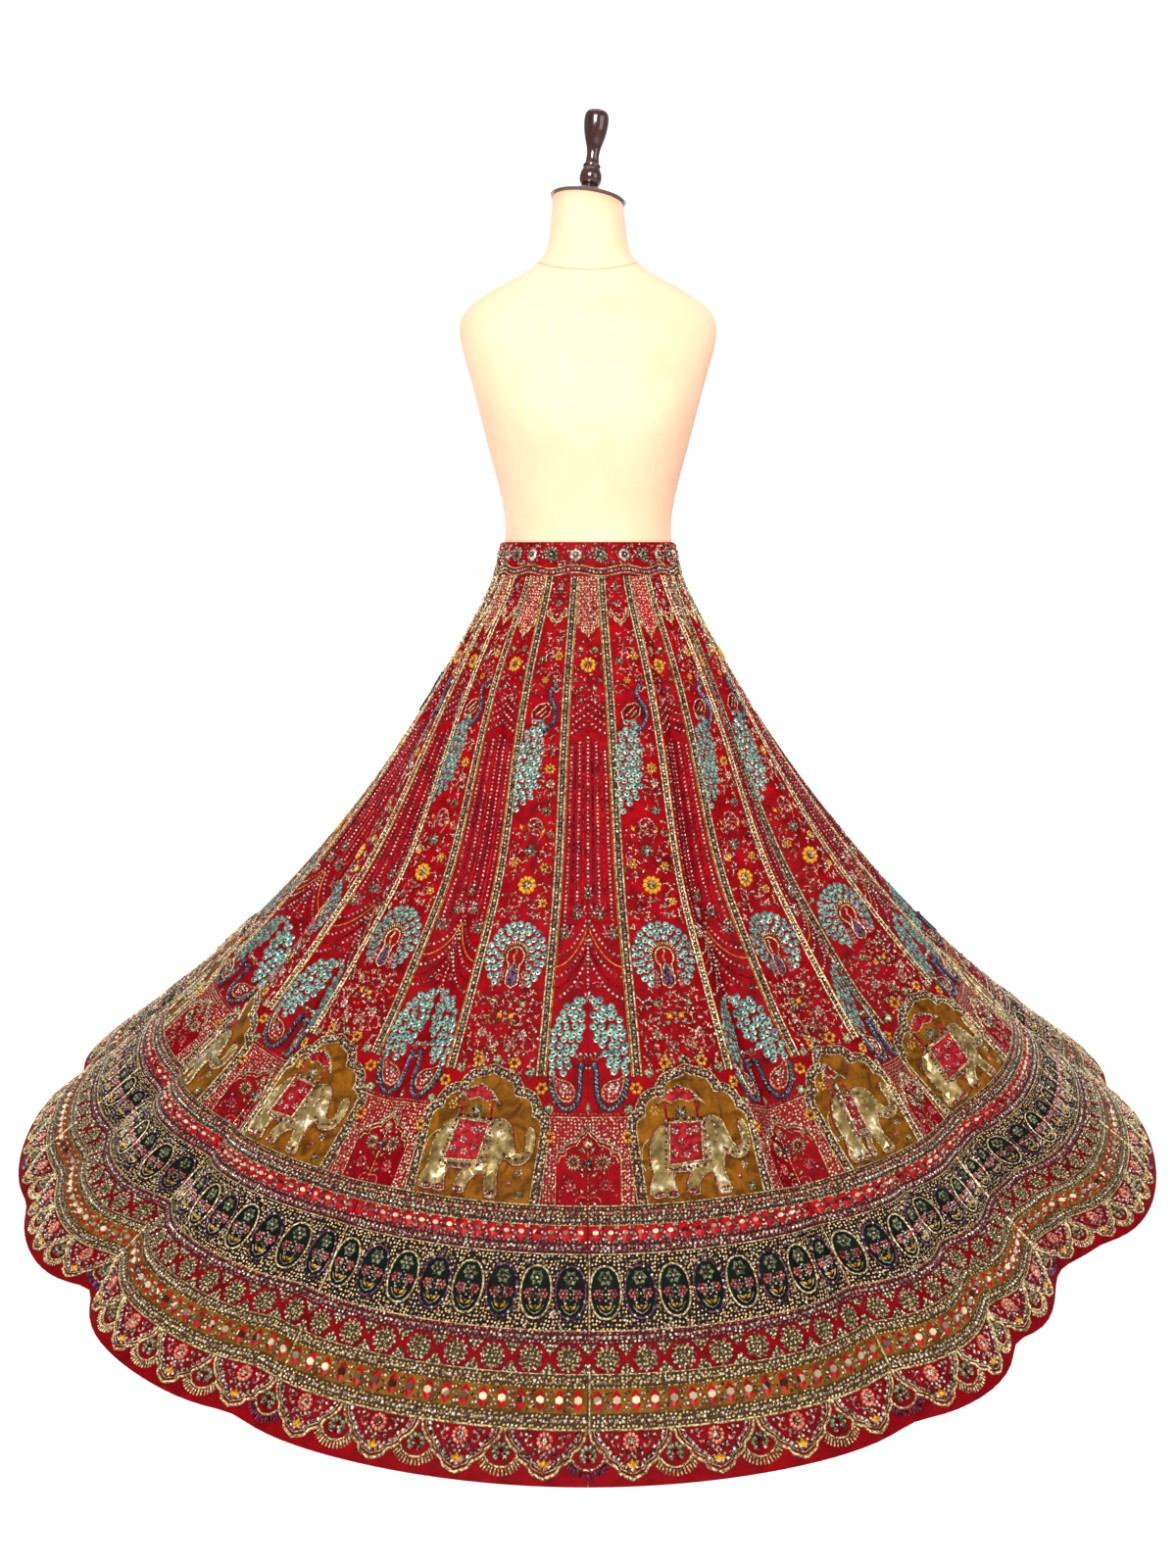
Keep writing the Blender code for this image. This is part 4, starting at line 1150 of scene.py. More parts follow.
cord(lay(arch, FAN_MIDDLE), gold, 0.0026, step=0.008)
cord(lay(arch * 1.16, FAN_MIDDLE), maroon, 0.0016, step=0.008)
body = tenths((0, -60), (40, -140), (82, -240), (72, -320), (0, -370), (-72, -320), (-82, -240),
              (-40, -140))
filled(body * 0.94, FAN_MIDDLE, purple, 0.0020, 0.004, cut=0.02)
cord(close_path(lay(body, FAN_MIDDLE)), gold, 0.0022)
beads(lay([(0.0, -0.012), (0.0, -0.033)], FAN_MIDDLE), 0.0044, 0.0030, navy, lift=0.0014)
cord(lay(tenths((0, -60), (-22, 5), (8, 52), (0, 88)), FAN_MIDDLE), gold, 0.0026, 0.0022)
for side in SIDES:
    beads(lay([(side * 0.0130, -0.016), (side * 0.0150, -0.036)], FAN_MIDDLE), 0.0050, 0.0078,
          pink, shape="cone")
    beads(lay([(side * 0.0110, -0.018), (side * 0.0118, -0.036)], FAN_MIDDLE), 0.0044, 0.0026,
          silver, lift=0.0010)
    fill_with_sprigs(6, 0.500, 0.522, 0.0080, (0.0, 0.5400, 0.030))
    fill_with_sprigs(5, 0.588, 0.604, 0.0080, (0.0, 0.5700, 0.026))


# ---------------------------------------------------------------- the arcs of flowers
# Over each elephant's arch the middle panel ends in curved sprays, a half ring of leaves, and
# an arc of yellow flowers and green rosettes that follows the arch from rib to rib.
ARC_FLOWERS, ARC_HALF, ARC_SPREAD = 11, 0.073, 1.45
LEAVES_MIDDLE = (MIDDLE, 0.0, 0.632)
spots, turns = ring(0.0105, 5, 0.0, 1.0, math.pi)
for number, (spot, turn) in enumerate(zip(lay(spots * 0.55, LEAVES_MIDDLE), turns)):
    leaf(spot, turn - PETAL_WAY, 0.0080, 0.0064, (green, yellow)[number % 2], 0.0024)
put("cone", LEAVES_MIDDLE, (0.0060, 0.0060, 0.0026), silver)
for side in SIDES:
    rosette((MIDDLE, side * 0.018, 0.610), 0.0052, green, old_gold, silver)
    flower((MIDDLE, side * 0.024, 0.646), 0.0060, 7, cream, pink)
    flower((MIDDLE, side * 0.012, 0.655), 0.0050, 5, pink, silver)
    for down, size, way in ((0.622, 0.020, 70.0), (0.648, 0.022, 100.0), (0.662, 0.018, 60.0)):
        curl((MIDDLE, side * 0.008, down), size, side * -math.radians(way), side, old_gold, silver)
fill_with_sprigs(64, 0.603, 0.688, 0.0078, (0.0, 0.632, 0.013), (0.018, 0.610, 0.005),
                 (-0.018, 0.610, 0.005), (0.024, 0.646, 0.006), (-0.024, 0.646, 0.006))
for number in range(ARC_FLOWERS):
    out = (number - (ARC_FLOWERS - 1) / 2.0) / ((ARC_FLOWERS - 1) / 2.0) * ARC_SPREAD
    spot = (MIDDLE, ARC_HALF * math.sin(out), 0.772 - 0.098 * math.cos(out) ** 0.8)
    if number % 2:
        rosette(spot, 0.0060, old_gold, green, silver, 8, 0.0018)
    else:
        flower(spot, 0.0068, 6, yellow, maroon, 0.0024, fullness=1.15)


# ---------------------------------------------------------------- the elephant arches
# Each middle panel ends in an arch of many foils, cut from mustard velvet and bordered with
# dense bead work. On it stands a padded elephant of gold and silver foil, outlined in cord,
# under a red saddle cloth and a canopied seat.
ARCH_FOOT, ARCH_TOP, ARCH_HALF, ARCH_BORDER = 0.8225, 0.690, 0.0620, 0.0100
ELEPHANT_SCALE = 1.05
foot, elephant_foot = (MIDDLE, 0.0, ARCH_FOOT), (MIDDLE, -0.0085, 0.8190)
rise = ARCH_FOOT - ARCH_TOP
finishes["mustard_velvet"] = velvet("mustard_velvet", (0.058, 0.019, 0.001), (0.220, 0.077, 0.004),
                                    60.0, (0.06, (1.0, 0.70, 0.30)), (0.36, 0.62))
border_work = bead_work("border_work", (0.025, 0.008, 0.004), 270.0, (0.0, DULL_GOLD),
                        (0.25, GOLD), (0.45, MAROON), (0.66, SILVER), (0.76, DULL_GOLD),
                        (1.0, MAROON))
# The padded foil: crumpled creases in its bump, roughness and tone, and on its brightest patches
# painted highlights, near white.
finishes["padded_foil"], tree, shader = material("padded_foil", (0.55, 0.45, 0.22), 0.3, 0.55)
creases_and_highlights = noise(tree, object_place(tree), 90.0, 2.0, Distortion=0.2)
wire(tree, shader, Roughness=calc(tree, "MULTIPLY_ADD", creases_and_highlights, 0.20, 0.14),
     Base_Color=ramp(tree, creases_and_highlights, (0.32, (0.14, 0.085, 0.025)), (0.58, (0.37, 0.26, 0.09)),
                     (0.75, (1.0, 0.95, 0.78))), Normal=bump(tree, creases_and_highlights, 0.0004, 0.25))
saddle_silk = sewn_finish("saddle_silk", (0.12, 0.001, 0.003), (0.36, 0.006, 0.012), 0.5, 0.0,
                          260.0)


def widened(line, by):
    """The arch's line moved outwards by an even distance."""
    ahead = np.gradient(line, axis=0)
    ahead /= np.linalg.norm(ahead, axis=1, keepdims=True)
    aside = np.column_stack([ahead[:, 1], -ahead[:, 0]])
    return line + aside * by * np.sign(((line - (0.0, rise * 0.4)) * aside).sum(1).sum())


def swollen(line, by):
    """A line grown about its middle."""
    return (line - line.mean(0)) * by + line.mean(0)


def millimetres(*points):
    return np.array(points) / 1000.0


def on_elephant(points):
    return lay(points, elephant_foot, scale=ELEPHANT_SCALE)


arch_line = mirrored(np.array([
    (1.0, 0.0), (1.0, 0.56), (0.97, 0.63), (0.88, 0.665), (0.81, 0.675), (0.80, 0.735),
    (0.73, 0.79), (0.62, 0.82), (0.50, 0.825), (0.44, 0.835), (0.42, 0.885), (0.35, 0.935),
    (0.22, 0.96), (0.08, 0.98), (0.0, 1.0)]) * (ARCH_HALF, rise))
filled(arch_line, foot, "mustard_velvet", 0.0007, 0.0)
arch_fine = np.concatenate([np.linspace(a, b, 4)[:-1] for a, b in zip(arch_line, arch_line[1:])]
                           + [arch_line[-1:]])
inner, middle, outer = (lay(line, foot) for line in (
    arch_fine, widened(arch_fine, ARCH_BORDER / 2.0), widened(arch_fine, ARCH_BORDER)))
band_between(inner, outer, border_work, 0.0011)
cord(inner, gold, 0.0022, 0.0022, 0.02)
cord(outer, gold, 0.0018, 0.0019, 0.02)
beads(middle, 0.0056, 0.0038, (silver, gold, silver), lift=0.0010)

ELEPHANT = millimetres(
    (-46, 3), (-46, 13), (-41, 25), (-42, 41), (-38, 57), (-29, 69), (-14, 75), (4, 75), (15, 73),
    (24, 77), (34, 73), (39, 63), (42, 51), (47, 44), (53, 45), (55, 53), (53, 63), (56, 70),
    (61, 67), (63, 55), (61, 42), (54, 34), (44, 33), (36, 38), (31, 33), (30, 20), (33, 7),
    (32, 1), (22, 1), (20, 10), (18, 22), (10, 21), (2, 12), (1, 3), (-9, 4), (-9, 15), (-4, 24),
    (-12, 25), (-20, 24), (-22, 13), (-20, 3), (-30, 2), (-31, 12), (-33, 3))
elephant = smooth_line(ELEPHANT, 2)
filled(elephant, elephant_foot, "padded_foil", 0.0046, 0.0085, 0.0062, 0.0008, ELEPHANT_SCALE)
cord(on_elephant(close_path(elephant)), maroon, 0.0050, 0.0012, lift=0.0006)
cord(on_elephant(close_path(elephant)), gold, 0.0017, 0.0030, lift=0.0012)
saddle = millimetres((-25, 31), (9, 33), (14, 71), (-18, 72))
filled(saddle, elephant_foot, saddle_silk, 0.0010, 0.0, 0.011, 0.0052, ELEPHANT_SCALE)
cord(on_elephant(close_path(saddle)), gold, 0.0026, 0.0022, lift=0.0058)
beads(on_elephant(close_path(swollen(saddle, 1.20))), 0.0044, 0.0032, (silver, maroon), lift=0.0052)
for spot in ((-9, 52), (0, 62), (-14, 64), (4, 45), (-18, 42), (7, 64), (-6, 40)):
    flower(on_elephant(millimetres(spot))[0], 0.0042, 5, silver, pink, lift=0.0060)
for line in (((-30, 29), (-8, 26), (15, 29)), ((15, 72), (19, 50), (16, 30)),
             ((24, 75), (28, 62), (26, 50)), ((31, 44), (40, 38), (52, 37), (60, 46))):
    beads(on_elephant(millimetres(*line)), 0.0038, 0.0028, (silver, maroon), lift=0.0050)
for across in (-38, -25, -5, 27):
    put("disc", on_elephant((across / 1000.0, 0.0052)), (0.0100, 0.0066, 0.0010), maroon,
        lift=0.0040)
    beads(on_elephant(millimetres((across - 5, 4), (across + 4, 4))), 0.0034, 0.0031,
          silver, lift=0.0048)
cord(on_elephant(smooth_line(millimetres((-39, 60), (-47, 52), (-50, 38), (-48, 28)), 3, False)),
     gold, 0.0018, 0.0016)
for side in SIDES:                                         # loose beads beside the arch
    spots = flat_at(MIDDLE, side * chance.uniform(0.030, 0.073, 60),
                    chance.uniform(0.690, 0.800, 60))
    beside = (spots[:, 1] / 0.0755) ** 4 + ((ARCH_FOOT - spots[:, 2]) / (rise + 0.010)) ** 4
    spots = spots[beside > 1.0]
    put("bead", spots[::2], (0.0032, 0.0032, 0.0018), silver, 0.6)
    put("bead", spots[1::2], (0.0028, 0.0036, 0.0016), gold, 1.0)
leaf(on_elephant((0.037, 0.044)), math.radians(-100.0), 0.014, 0.0034, cream, 0.0060)
put("stud", on_elephant((0.0315, 0.064)), (0.0026, 0.0026, 0.0056), black)
ear = smooth_line(millimetres((18, 68), (27, 66), (29, 55), (24, 44), (17, 46), (14, 58)), 2)
cord(on_elephant(close_path(ear)), orange, 0.0014, lift=0.0046)

canopy = millimetres((-28, 92), (-16, 104), (-3, 111), (10, 104), (22, 90), (14, 96), (6, 93),
                     (-3, 97), (-12, 93), (-20, 97))
filled(canopy, elephant_foot, saddle_silk, 0.0020, 0.004, 0.011, 0.0008, ELEPHANT_SCALE)
cord(on_elephant(close_path(canopy)), gold, 0.0024, 0.0030)
beads(on_elephant(canopy[:5] * (1.0, 0.985)), 0.0042, 0.0030, silver, lift=0.0024)
for across in (-19, 13):
    cord(on_elephant(millimetres((across, 75), (across, 94))), crimson, 0.0034, 0.0020)
    beads(on_elephant(millimetres((across - 3, 76), (across - 3, 92))), 0.0040, 0.0026, silver)
seat = on_elephant((-0.003, 0.083))[0]
flower(seat, 0.0085, 7, green, silver, 0.0030)
flower(seat, 0.0045, 6, silver, green, 0.0036)
for across, down, radius, petal in ((-0.040, 0.728, 0.0060, yellow),
                                    (-0.052, 0.812, 0.0058, yellow), (-0.052, 0.786, 0.0050, green),
                                    (0.050, 0.814, 0.0052, green), (0.046, 0.792, 0.0046, silver),
                                    (-0.028, 0.715, 0.0036, silver), (0.038, 0.803, 0.0042, pink)):
    flower((MIDDLE, across, down), radius, 6, petal, silver, 0.0024)


# ---------------------------------------------------------------- the seam panels, lower part
# Two peacocks face each other across each seam, their tails raised like commas, and their
# necks of twisted navy cord run in a U under their bodies. Below them stands a small arch with
# a flowering plant, on plain red between borders of gold and pinkish beads.
RAISED_ROWS, RAISED_TOP, RAISED_STEP = 12, 0.6040, 0.0074
NICHE_HALF, NICHE_FOOT, NICHE_RISE, COLUMN_HALF = 0.0400, 0.8225, 0.0895, 0.0062
SEAM_TOP = (SEAM, 0.0, 0.0)
NICHE_MIDDLE = (SEAM, 0.0, NICHE_FOOT)
PLANT_FOOT = (SEAM, 0.0, 0.8200)
body = tenths((395, -6880), (340, -6925), (270, -6940), (200, -6970), (150, -7035), (155, -7115),
              (215, -7165), (290, -7150), (345, -7080), (375, -6985))
neck_line = smooth_line(tenths((70, -6775), (88, -6840), (88, -6950), (100, -7110), (155, -7215),
                               (245, -7245), (335, -7170), (395, -7060), (420, -6920)), 3, False)
for side in SIDES:
    for row in range(RAISED_ROWS):
        down = RAISED_TOP + RAISED_STEP * row
        inner = np.interp(down, (0.600, 0.620, 0.640, 0.652, 0.666, 0.692),
                          (0.0075, 0.0065, 0.0075, 0.0120, 0.0200, 0.0290))
        outer = np.interp(down, (0.603, 0.610, 0.622, 0.640, 0.664, 0.692),
                          (0.0120, 0.0230, 0.0320, 0.0375, 0.0400, 0.0390))
        count = max(1, int(round((outer - inner) / 0.0084)) + 1)
        spots = np.linspace(inner, outer, count) + chance.normal(0.0, 0.0008, count)
        spots += 0.0016 if row % 2 else -0.0010
        eyes(flat_at(SEAM, side * spots, down + chance.normal(0.0, 0.0009, count)))
    filled(smooth_line(body, 2) * (side, 1.0), SEAM_TOP, seed_work, 0.0016, 0.004, 0.02, 0.0006)
    for inset, name, width in ((1.0, gold, 0.0022), (0.80, maroon, 0.0012)):
        cord(lay(close_path(smooth_line(swollen(body, inset), 2)) * (side, 1.0), SEAM_TOP), name,
             width, 0.0024)
    beads(lay(swollen(body, 0.42) * (side, 1.0), SEAM_TOP), 0.0036, 0.0040, silver, lift=0.0016)
    path = lay(neck_line * (side, 1.0), SEAM_TOP)
    neck(path, 0.006, 0.0042, (0.0094, 0.0090, 0.0048))
    put("bead", path[:1] - (0.0, side * 0.0008, 0.0012), (0.0030, 0.0030, 0.0062), cream)
    leaf((SEAM, side * 0.0036, 0.6790), side * 2.0, 0.0042, 0.0024, gold)
    peacock_crest((SEAM, side * 0.0070, 0.6740), (side * 0.5, side * -0.1, side * -0.7),
                  (0.003, 0.0095), (0.0046, 0.0046, 0.0024))
leaf((SEAM, 0.0, 0.7290), 0.0, 0.0120, 0.0050, green)

spandrel_work = bead_work("spandrel_work", (0.16, 0.001, 0.003), 270.0, (0.0, MAROON),
                          (0.25, GOLD), (0.42, (0.40, 0.0, 0.006)), (0.62, SILVER),
                          (0.75, MAROON), (1.0, SILVER))
for side in SIDES:                                         # the columns
    inner, outer = (lay(np.column_stack([np.full(9, side * (NICHE_HALF + edge)),
                                         np.linspace(0.0, 0.058, 9)]), NICHE_MIDDLE)
                    for edge in (-COLUMN_HALF, COLUMN_HALF))
    band_between(inner, outer, spandrel_work)
    for line in (inner, outer):
        cord(line, gold, 0.0014)
    beads((inner + outer) / 2.0, 0.0046, 0.0032, (silver, pink), lift=0.0008)
niche = mirrored(tenths((338, 460), (310, 530), (255, 535), (245, 600), (165, 640), (130, 640),
                        (85, 705), (35, 735), (0, 785)))
top_half = NICHE_HALF + COLUMN_HALF
spandrel_top = np.column_stack([np.linspace(top_half, -top_half, len(niche)),
                                np.full(len(niche), NICHE_RISE)])
band_between(lay(niche, NICHE_MIDDLE), lay(spandrel_top, NICHE_MIDDLE), spandrel_work)
cord(lay(niche, NICHE_MIDDLE), gold, 0.0019, 0.0020)
cord(lay(niche * (0.93, 1.0) - (0.0, 0.0036), NICHE_MIDDLE), gold, 0.0013)
beads(lay(niche + (0.0, 0.0036), NICHE_MIDDLE), 0.0042, 0.0030, silver, lift=0.0010)
cord(lay(spandrel_top, NICHE_MIDDLE), gold, 0.0017, 0.0018)
beads(lay(spandrel_top + (0.0, 0.0035), NICHE_MIDDLE), 0.0040, 0.0028, pink)


def on_plant(*spot):
    return lay(spot, PLANT_FOOT)[0]


cord([on_plant(0.0, 0.0), on_plant(0.0, 0.066)], old_gold, 0.0013)
rosette(on_plant(0.0, 0.060), 0.0058, pink, old_gold, silver, 9, 0.0026)
rosette(on_plant(0.0, 0.040), 0.0052, green, black, silver, 8, 0.0024)
for side in SIDES:
    sunburst = on_plant(side * 0.0150, 0.041)
    wheel("petal", sunburst, 0.0030, 14, (0.0022, 0.0062, 0.0018), gold)
    put("stud", sunburst, (0.0050, 0.0050, 0.0028), black)
    put("bead", lay(ring(0.0014, 4)[0], sunburst), (0.0018, 0.0018, 0.0038), silver)
    rosette(on_plant(side * 0.0180, 0.018), 0.0066, pink, maroon, old_gold, 10, 0.0024)
    for across, up, turn in ((0.007, 0.050, 0.6), (0.008, 0.026, 0.9), (0.007, 0.010, 1.0)):
        leaf(on_plant(side * across * 0.4, up), -side * turn, 0.0085, 0.0036, old_gold)
    curl((SEAM, side * 0.002, 0.8140), 0.016, side * -0.9, side, pink, silver)
scatter(36, 0.765, 0.819, SEAM, lambda down: 0.030, 0.0030, silver, pink)


# ---------------------------------------------------------------- the hem's straight bands
# Bands of work ring the skirt above its hem, each couched on its own ground: bead rows, a band
# of mirrors set in red satin, bead rows, the black band that carries the ovals, bead rows, the
# diamond lattice, bead rows, and a mustard velvet band with more mirrors.
SEAM_MARGIN = 0.0006         # how far short of each seam the bands stop
BAND_CELL = 0.018            # the most that a cell of a band's ground runs down the skirt
BLACK_TOP, BLACK_FOOT, SCALLOP_TOP = 0.8680, 0.9360, 1.0175
AMBER, JAAL_BLACK = (0.86, 0.46, 0.15), (0.012, 0.006, 0.005)
pink_work = bead_work("pink_work", (0.035, 0.002, 0.004), 260.0, (0.0, MAROON), (0.30, PINK),
                      (0.45, MAROON), (0.68, SILVER), (0.76, DULL_GOLD), (1.0, MAROON))
gold_work = bead_work("gold_work", (0.035, 0.018, 0.004), 260.0, (0.0, DULL_GOLD),
                      (0.30, GOLD), (0.50, DULL_GOLD), (0.65, SILVER), (0.75, GOLD),
                      (1.0, DULL_GOLD))
jaal = bead_work("black_jaal", (0.003, 0.0012, 0.001), 280.0, (0.0, AMBER),
                 (0.30, (0.86, 0.62, 0.30)), (0.45, JAAL_BLACK), (0.60, SILVER), (0.75, AMBER),
                 (0.88, AMBER), (1.0, JAAL_BLACK))
mirror_ground = bead_work("mirror_ground", (0.20, 0.0, 0.003), 300.0,
                          (0.0, (0.40, 0.0, 0.005)), (0.7, (0.28, 0.0, 0.005)), (1.0, MAROON))


def across_kali(down, margin=SEAM_MARGIN, count=COLUMNS + 1):
    """A level line over one kali, from just past one seam to just short of the next."""
    edge = margin / float(kali_width(down))
    return flat_at(np.linspace(edge, 1.0 - edge, count), 0.0, down)


for top, foot, ground, height in (
        (0.8218, 0.8410, border_work, 0.0008), (0.8410, 0.8555, mirror_ground, 0.0005),
        (0.8555, BLACK_TOP, pink_work, 0.0008), (BLACK_TOP, BLACK_FOOT, jaal, 0.0012),
        (BLACK_FOOT, 0.9470, pink_work, 0.0008), (0.9725, 0.9840, gold_work, 0.0008),
        (0.9840, 1.0040, "mustard_velvet", 0.0008), (1.0040, 1.0165, gold_work, 0.0008)):
    edges = np.linspace(top, foot, max(1, int(round((foot - top) / BAND_CELL))) + 1)
    for upper, lower in zip(edges, edges[1:]):
        band_between(across_kali(upper), across_kali(lower), ground, height)
for down, spacing, names in ((0.8290, 0.0060, (gold, pink)), (0.8355, 0.0052, silver),
                             (0.8622, 0.0054, silver), (0.9418, 0.0056, silver),
                             (0.9785, 0.0056, (silver, gold)),
                             (1.0102, 0.0056, (silver, silver, gold))):
    beads(across_kali(down), spacing, 0.0040, names, lift=0.0008)
for down, width in ((BLACK_TOP, 0.0022), (BLACK_FOOT, 0.0020), (0.8222, 0.0018), (0.8410, 0.0014),
                    (0.9725, 0.0014), (1.0168, 0.0026)):
    cord(across_kali(down), gold, width, 0.0020, 0.05)

satin = sewn_finish("red_satin", (0.20, 0.0, 0.002), (0.50, 0.0, 0.007), 0.40, 0.0, 160.0, 0.1, 0.6)
# The mirrors' glass is painted a reflection that differs from mirror to mirror, from dark to bright
# gold.
cut_mirror = sewn_finish("cut_mirror", (0.03, 0.018, 0.008), (1.0, 0.90, 0.56), 0.10, 0.4, 60.0,
                         0.15)


def mirror_band(middle, count, width, length, glass):
    """Mirrors in satin diamonds, with a knot of beads in each gap."""
    at = flat_at((np.arange(count) + 0.5) / count, 0.0, middle)
    for turn, off in ((0.0, 0.0008), (math.pi, -0.0008)):
        put("petal", at + (0.0, 0.0, off), (width, length / 2.0, 0.0018), satin, turn, 0.0008)
    put("mirror", at, (*glass, 0.0028), cut_mirror, chance.normal(0.0, 0.05, count))
    knots = (at + (0.5 / count, 0.0, 0.0))[:-1]
    for across, down, name in ((0.0, -0.0056, silver), (0.0, 0.0056, silver),
                               (-0.0016, -0.0008, silver), (0.0018, 0.0012, silver),
                               (-0.0030, -0.0052, gold), (0.0030, 0.0050, silver),
                               (0.0032, -0.0076, old_gold), (-0.0032, 0.0076, old_gold)):
        sprinkle(knots + (0.0, across, down), (0.0034, 0.0034, 0.0024), 0.0006, (name,))


mirror_band(0.8482, 17, 0.0118, 0.0172, (0.0070, 0.0048))
mirror_band(0.9940, 17, 0.0074, 0.0185, (0.0088, 0.0076))


# ---------------------------------------------------------------- the ovals
# Eight oval medallions on each kali, of near-black green velvet, framed by turn with a gold
# cord or with purple and silver beads. In each stands a flowering plant.
OVALS, OVAL_MIDDLE, OVAL_HALF, OVAL_RISE = 8, 0.9025, 0.0144, 0.0230
JAAL_BEADS = 230             # loose beads between the ovals
leaf_green = sewn_finish("leaf_green", (0.02, 0.025, 0.01), (0.30, 0.33, 0.18), 0.4, 0.1, foot=0.4)
finishes["black_velvet"] = velvet("black_velvet", (0.001, 0.002, 0.0015), (0.004, 0.009, 0.006),
                                  60.0, (0.03, (0.4, 0.8, 0.6)))
t = np.linspace(0.0, math.tau, 21)[:-1]
oval = (np.column_stack([np.sign(np.cos(t)) * np.abs(np.cos(t)) ** 0.85, np.sin(t)])
        * (OVAL_HALF, OVAL_RISE))
for number in range(OVALS):
    middle = ((number + 0.5) / OVALS, 0.0, OVAL_MIDDLE)
    filled(oval * 1.13, middle, "black_velvet", 0.0016, 0.0, 0.0140)
    frame_line = lay(close_path(oval) * 1.03, middle)
    if number % 2:
        cord(frame_line, purple, 0.0024, 0.0010, lift=0.0016)
        beads(frame_line, 0.0058, 0.0032, (silver, purple), lift=0.0018)
    else:
        cord(frame_line, gold, 0.0027, 0.0016, lift=0.0016)
    flower(lay((0.0, 0.0125), middle)[0], 0.0072, 6, leaf_green, silver, 0.0020, 0.28, 1.1, 0.0018)
    for side in SIDES:
        flower(lay((side * 0.0072, -0.0016), middle)[0], 0.0050, 6, pink, silver,
               0.0022, 0.34, 1.1, 0.0018)
        seeds = tenths((46, -100), (30, 12), (28, -52), (58, -72), (30, -22)) * (side, 1)
        put("bead", lay(seeds, middle), (0.0036, 0.0036, 0.0052), silver, 0.5)
        leaf(lay((side * 0.0002, -0.0165), middle)[0], -side * 0.85, 0.0094, 0.0040, yellow, 0.0044)
        cord(lay(tenths((0, -198), (50, -172), (82, -120)) * (side, 1), middle), cream,
             0.0016, 0.0036, 0.01)
    put("bead", lay(tenths((0, 36), (0, -20), (0, -75), (0, -130)), middle),
        (0.0034, 0.0034, 0.0044), silver)
spots = across_kali(0.0, 0.006, JAAL_BEADS)
spots[:, 2] = chance.uniform(0.8705, 0.9335, JAAL_BEADS)
away = ((spots[:, 0] * OVALS) % 1.0 - 0.5) / OVALS * kali_width(OVAL_MIDDLE)
outside = ((away / (OVAL_HALF * 1.14)) ** 2
           + ((spots[:, 2] - OVAL_MIDDLE) / (OVAL_RISE * 1.10)) ** 2) > 1.0
sprinkle(spots[outside], (0.0034, 0.0034, 0.0024), 0.0010, (silver, silver, gold))


# ---------------------------------------------------------------- the diamond lattice
# Red velvet shows as crossing strips between round gold and silver rosettes, with small
# triangles of beads above and below each crossing.
LATTICE, LATTICE_MIDDLE = 8, 0.9598
for number in range(LATTICE):
    middle = ((number + 0.5) / LATTICE, 0.0, LATTICE_MIDDLE)
    crossing = (number / LATTICE, 0.0, LATTICE_MIDDLE)
    put("disc", middle, (0.0215, 0.0215, 0.0010), gold_work)
    flower(middle, 0.0052, 6, leaf_green, silver, 0.0026, 0.3)
    wheel("petal", middle, 0.0066, 14, (0.0022, 0.0042, 0.0022), gold, 0.0006, 0.2)
    spots, turns = ring(0.0105, 12)
    put("bead", lay(spots, middle), (0.0032, 0.0032, 0.0024), silver, turns, 0.0006)
    for up in (-1, 1):
        filled(tenths((-85, 125), (0, 20), (85, 125)) * (1, up), crossing, gold_work, 0.0009,
               0.0, 0.03)
        put("bead", lay(tenths((-48, 105), (0, 108), (48, 105), (0, 62)) * (1, up), crossing),
            (0.0036, 0.0036, 0.0024), silver, 0.4, 0.0006)


# ---------------------------------------------------------------- the scalloped edge
# Pointed scallops hang below the last band: a double gold cord, a row of silver beads, and a
# rosette over a yellow bud. Between them sit small lobes with a green horseshoe and a fringe of
# short cut bugles. A narrow edge of plain velvet is left under them.
SCALLOPS, SCALLOP_TIP, FRINGE_BARS = 4, 1.0545, 13
salmon = sewn_finish("salmon_silk", (0.34, 0.04, 0.03), (0.84, 0.30, 0.20), 0.4, 0.1, unlit_share=0.1)
scallop = mirrored(np.array([
    (0.0362, 0.0), (0.0345, -0.20), (0.0300, -0.36), (0.0245, -0.47), (0.0232, -0.60),
    (0.0185, -0.68), (0.0140, -0.74), (0.0110, -0.88), (0.0050, -0.95), (0.0, -1.0)])
    * (1.0, SCALLOP_TIP - SCALLOP_TOP))
t = np.linspace(math.radians(200.0), math.radians(340.0), 9)
lobe = np.column_stack([0.0135 * np.cos(t) / 0.94, -0.0185 + 0.0115 * np.sin(t)])
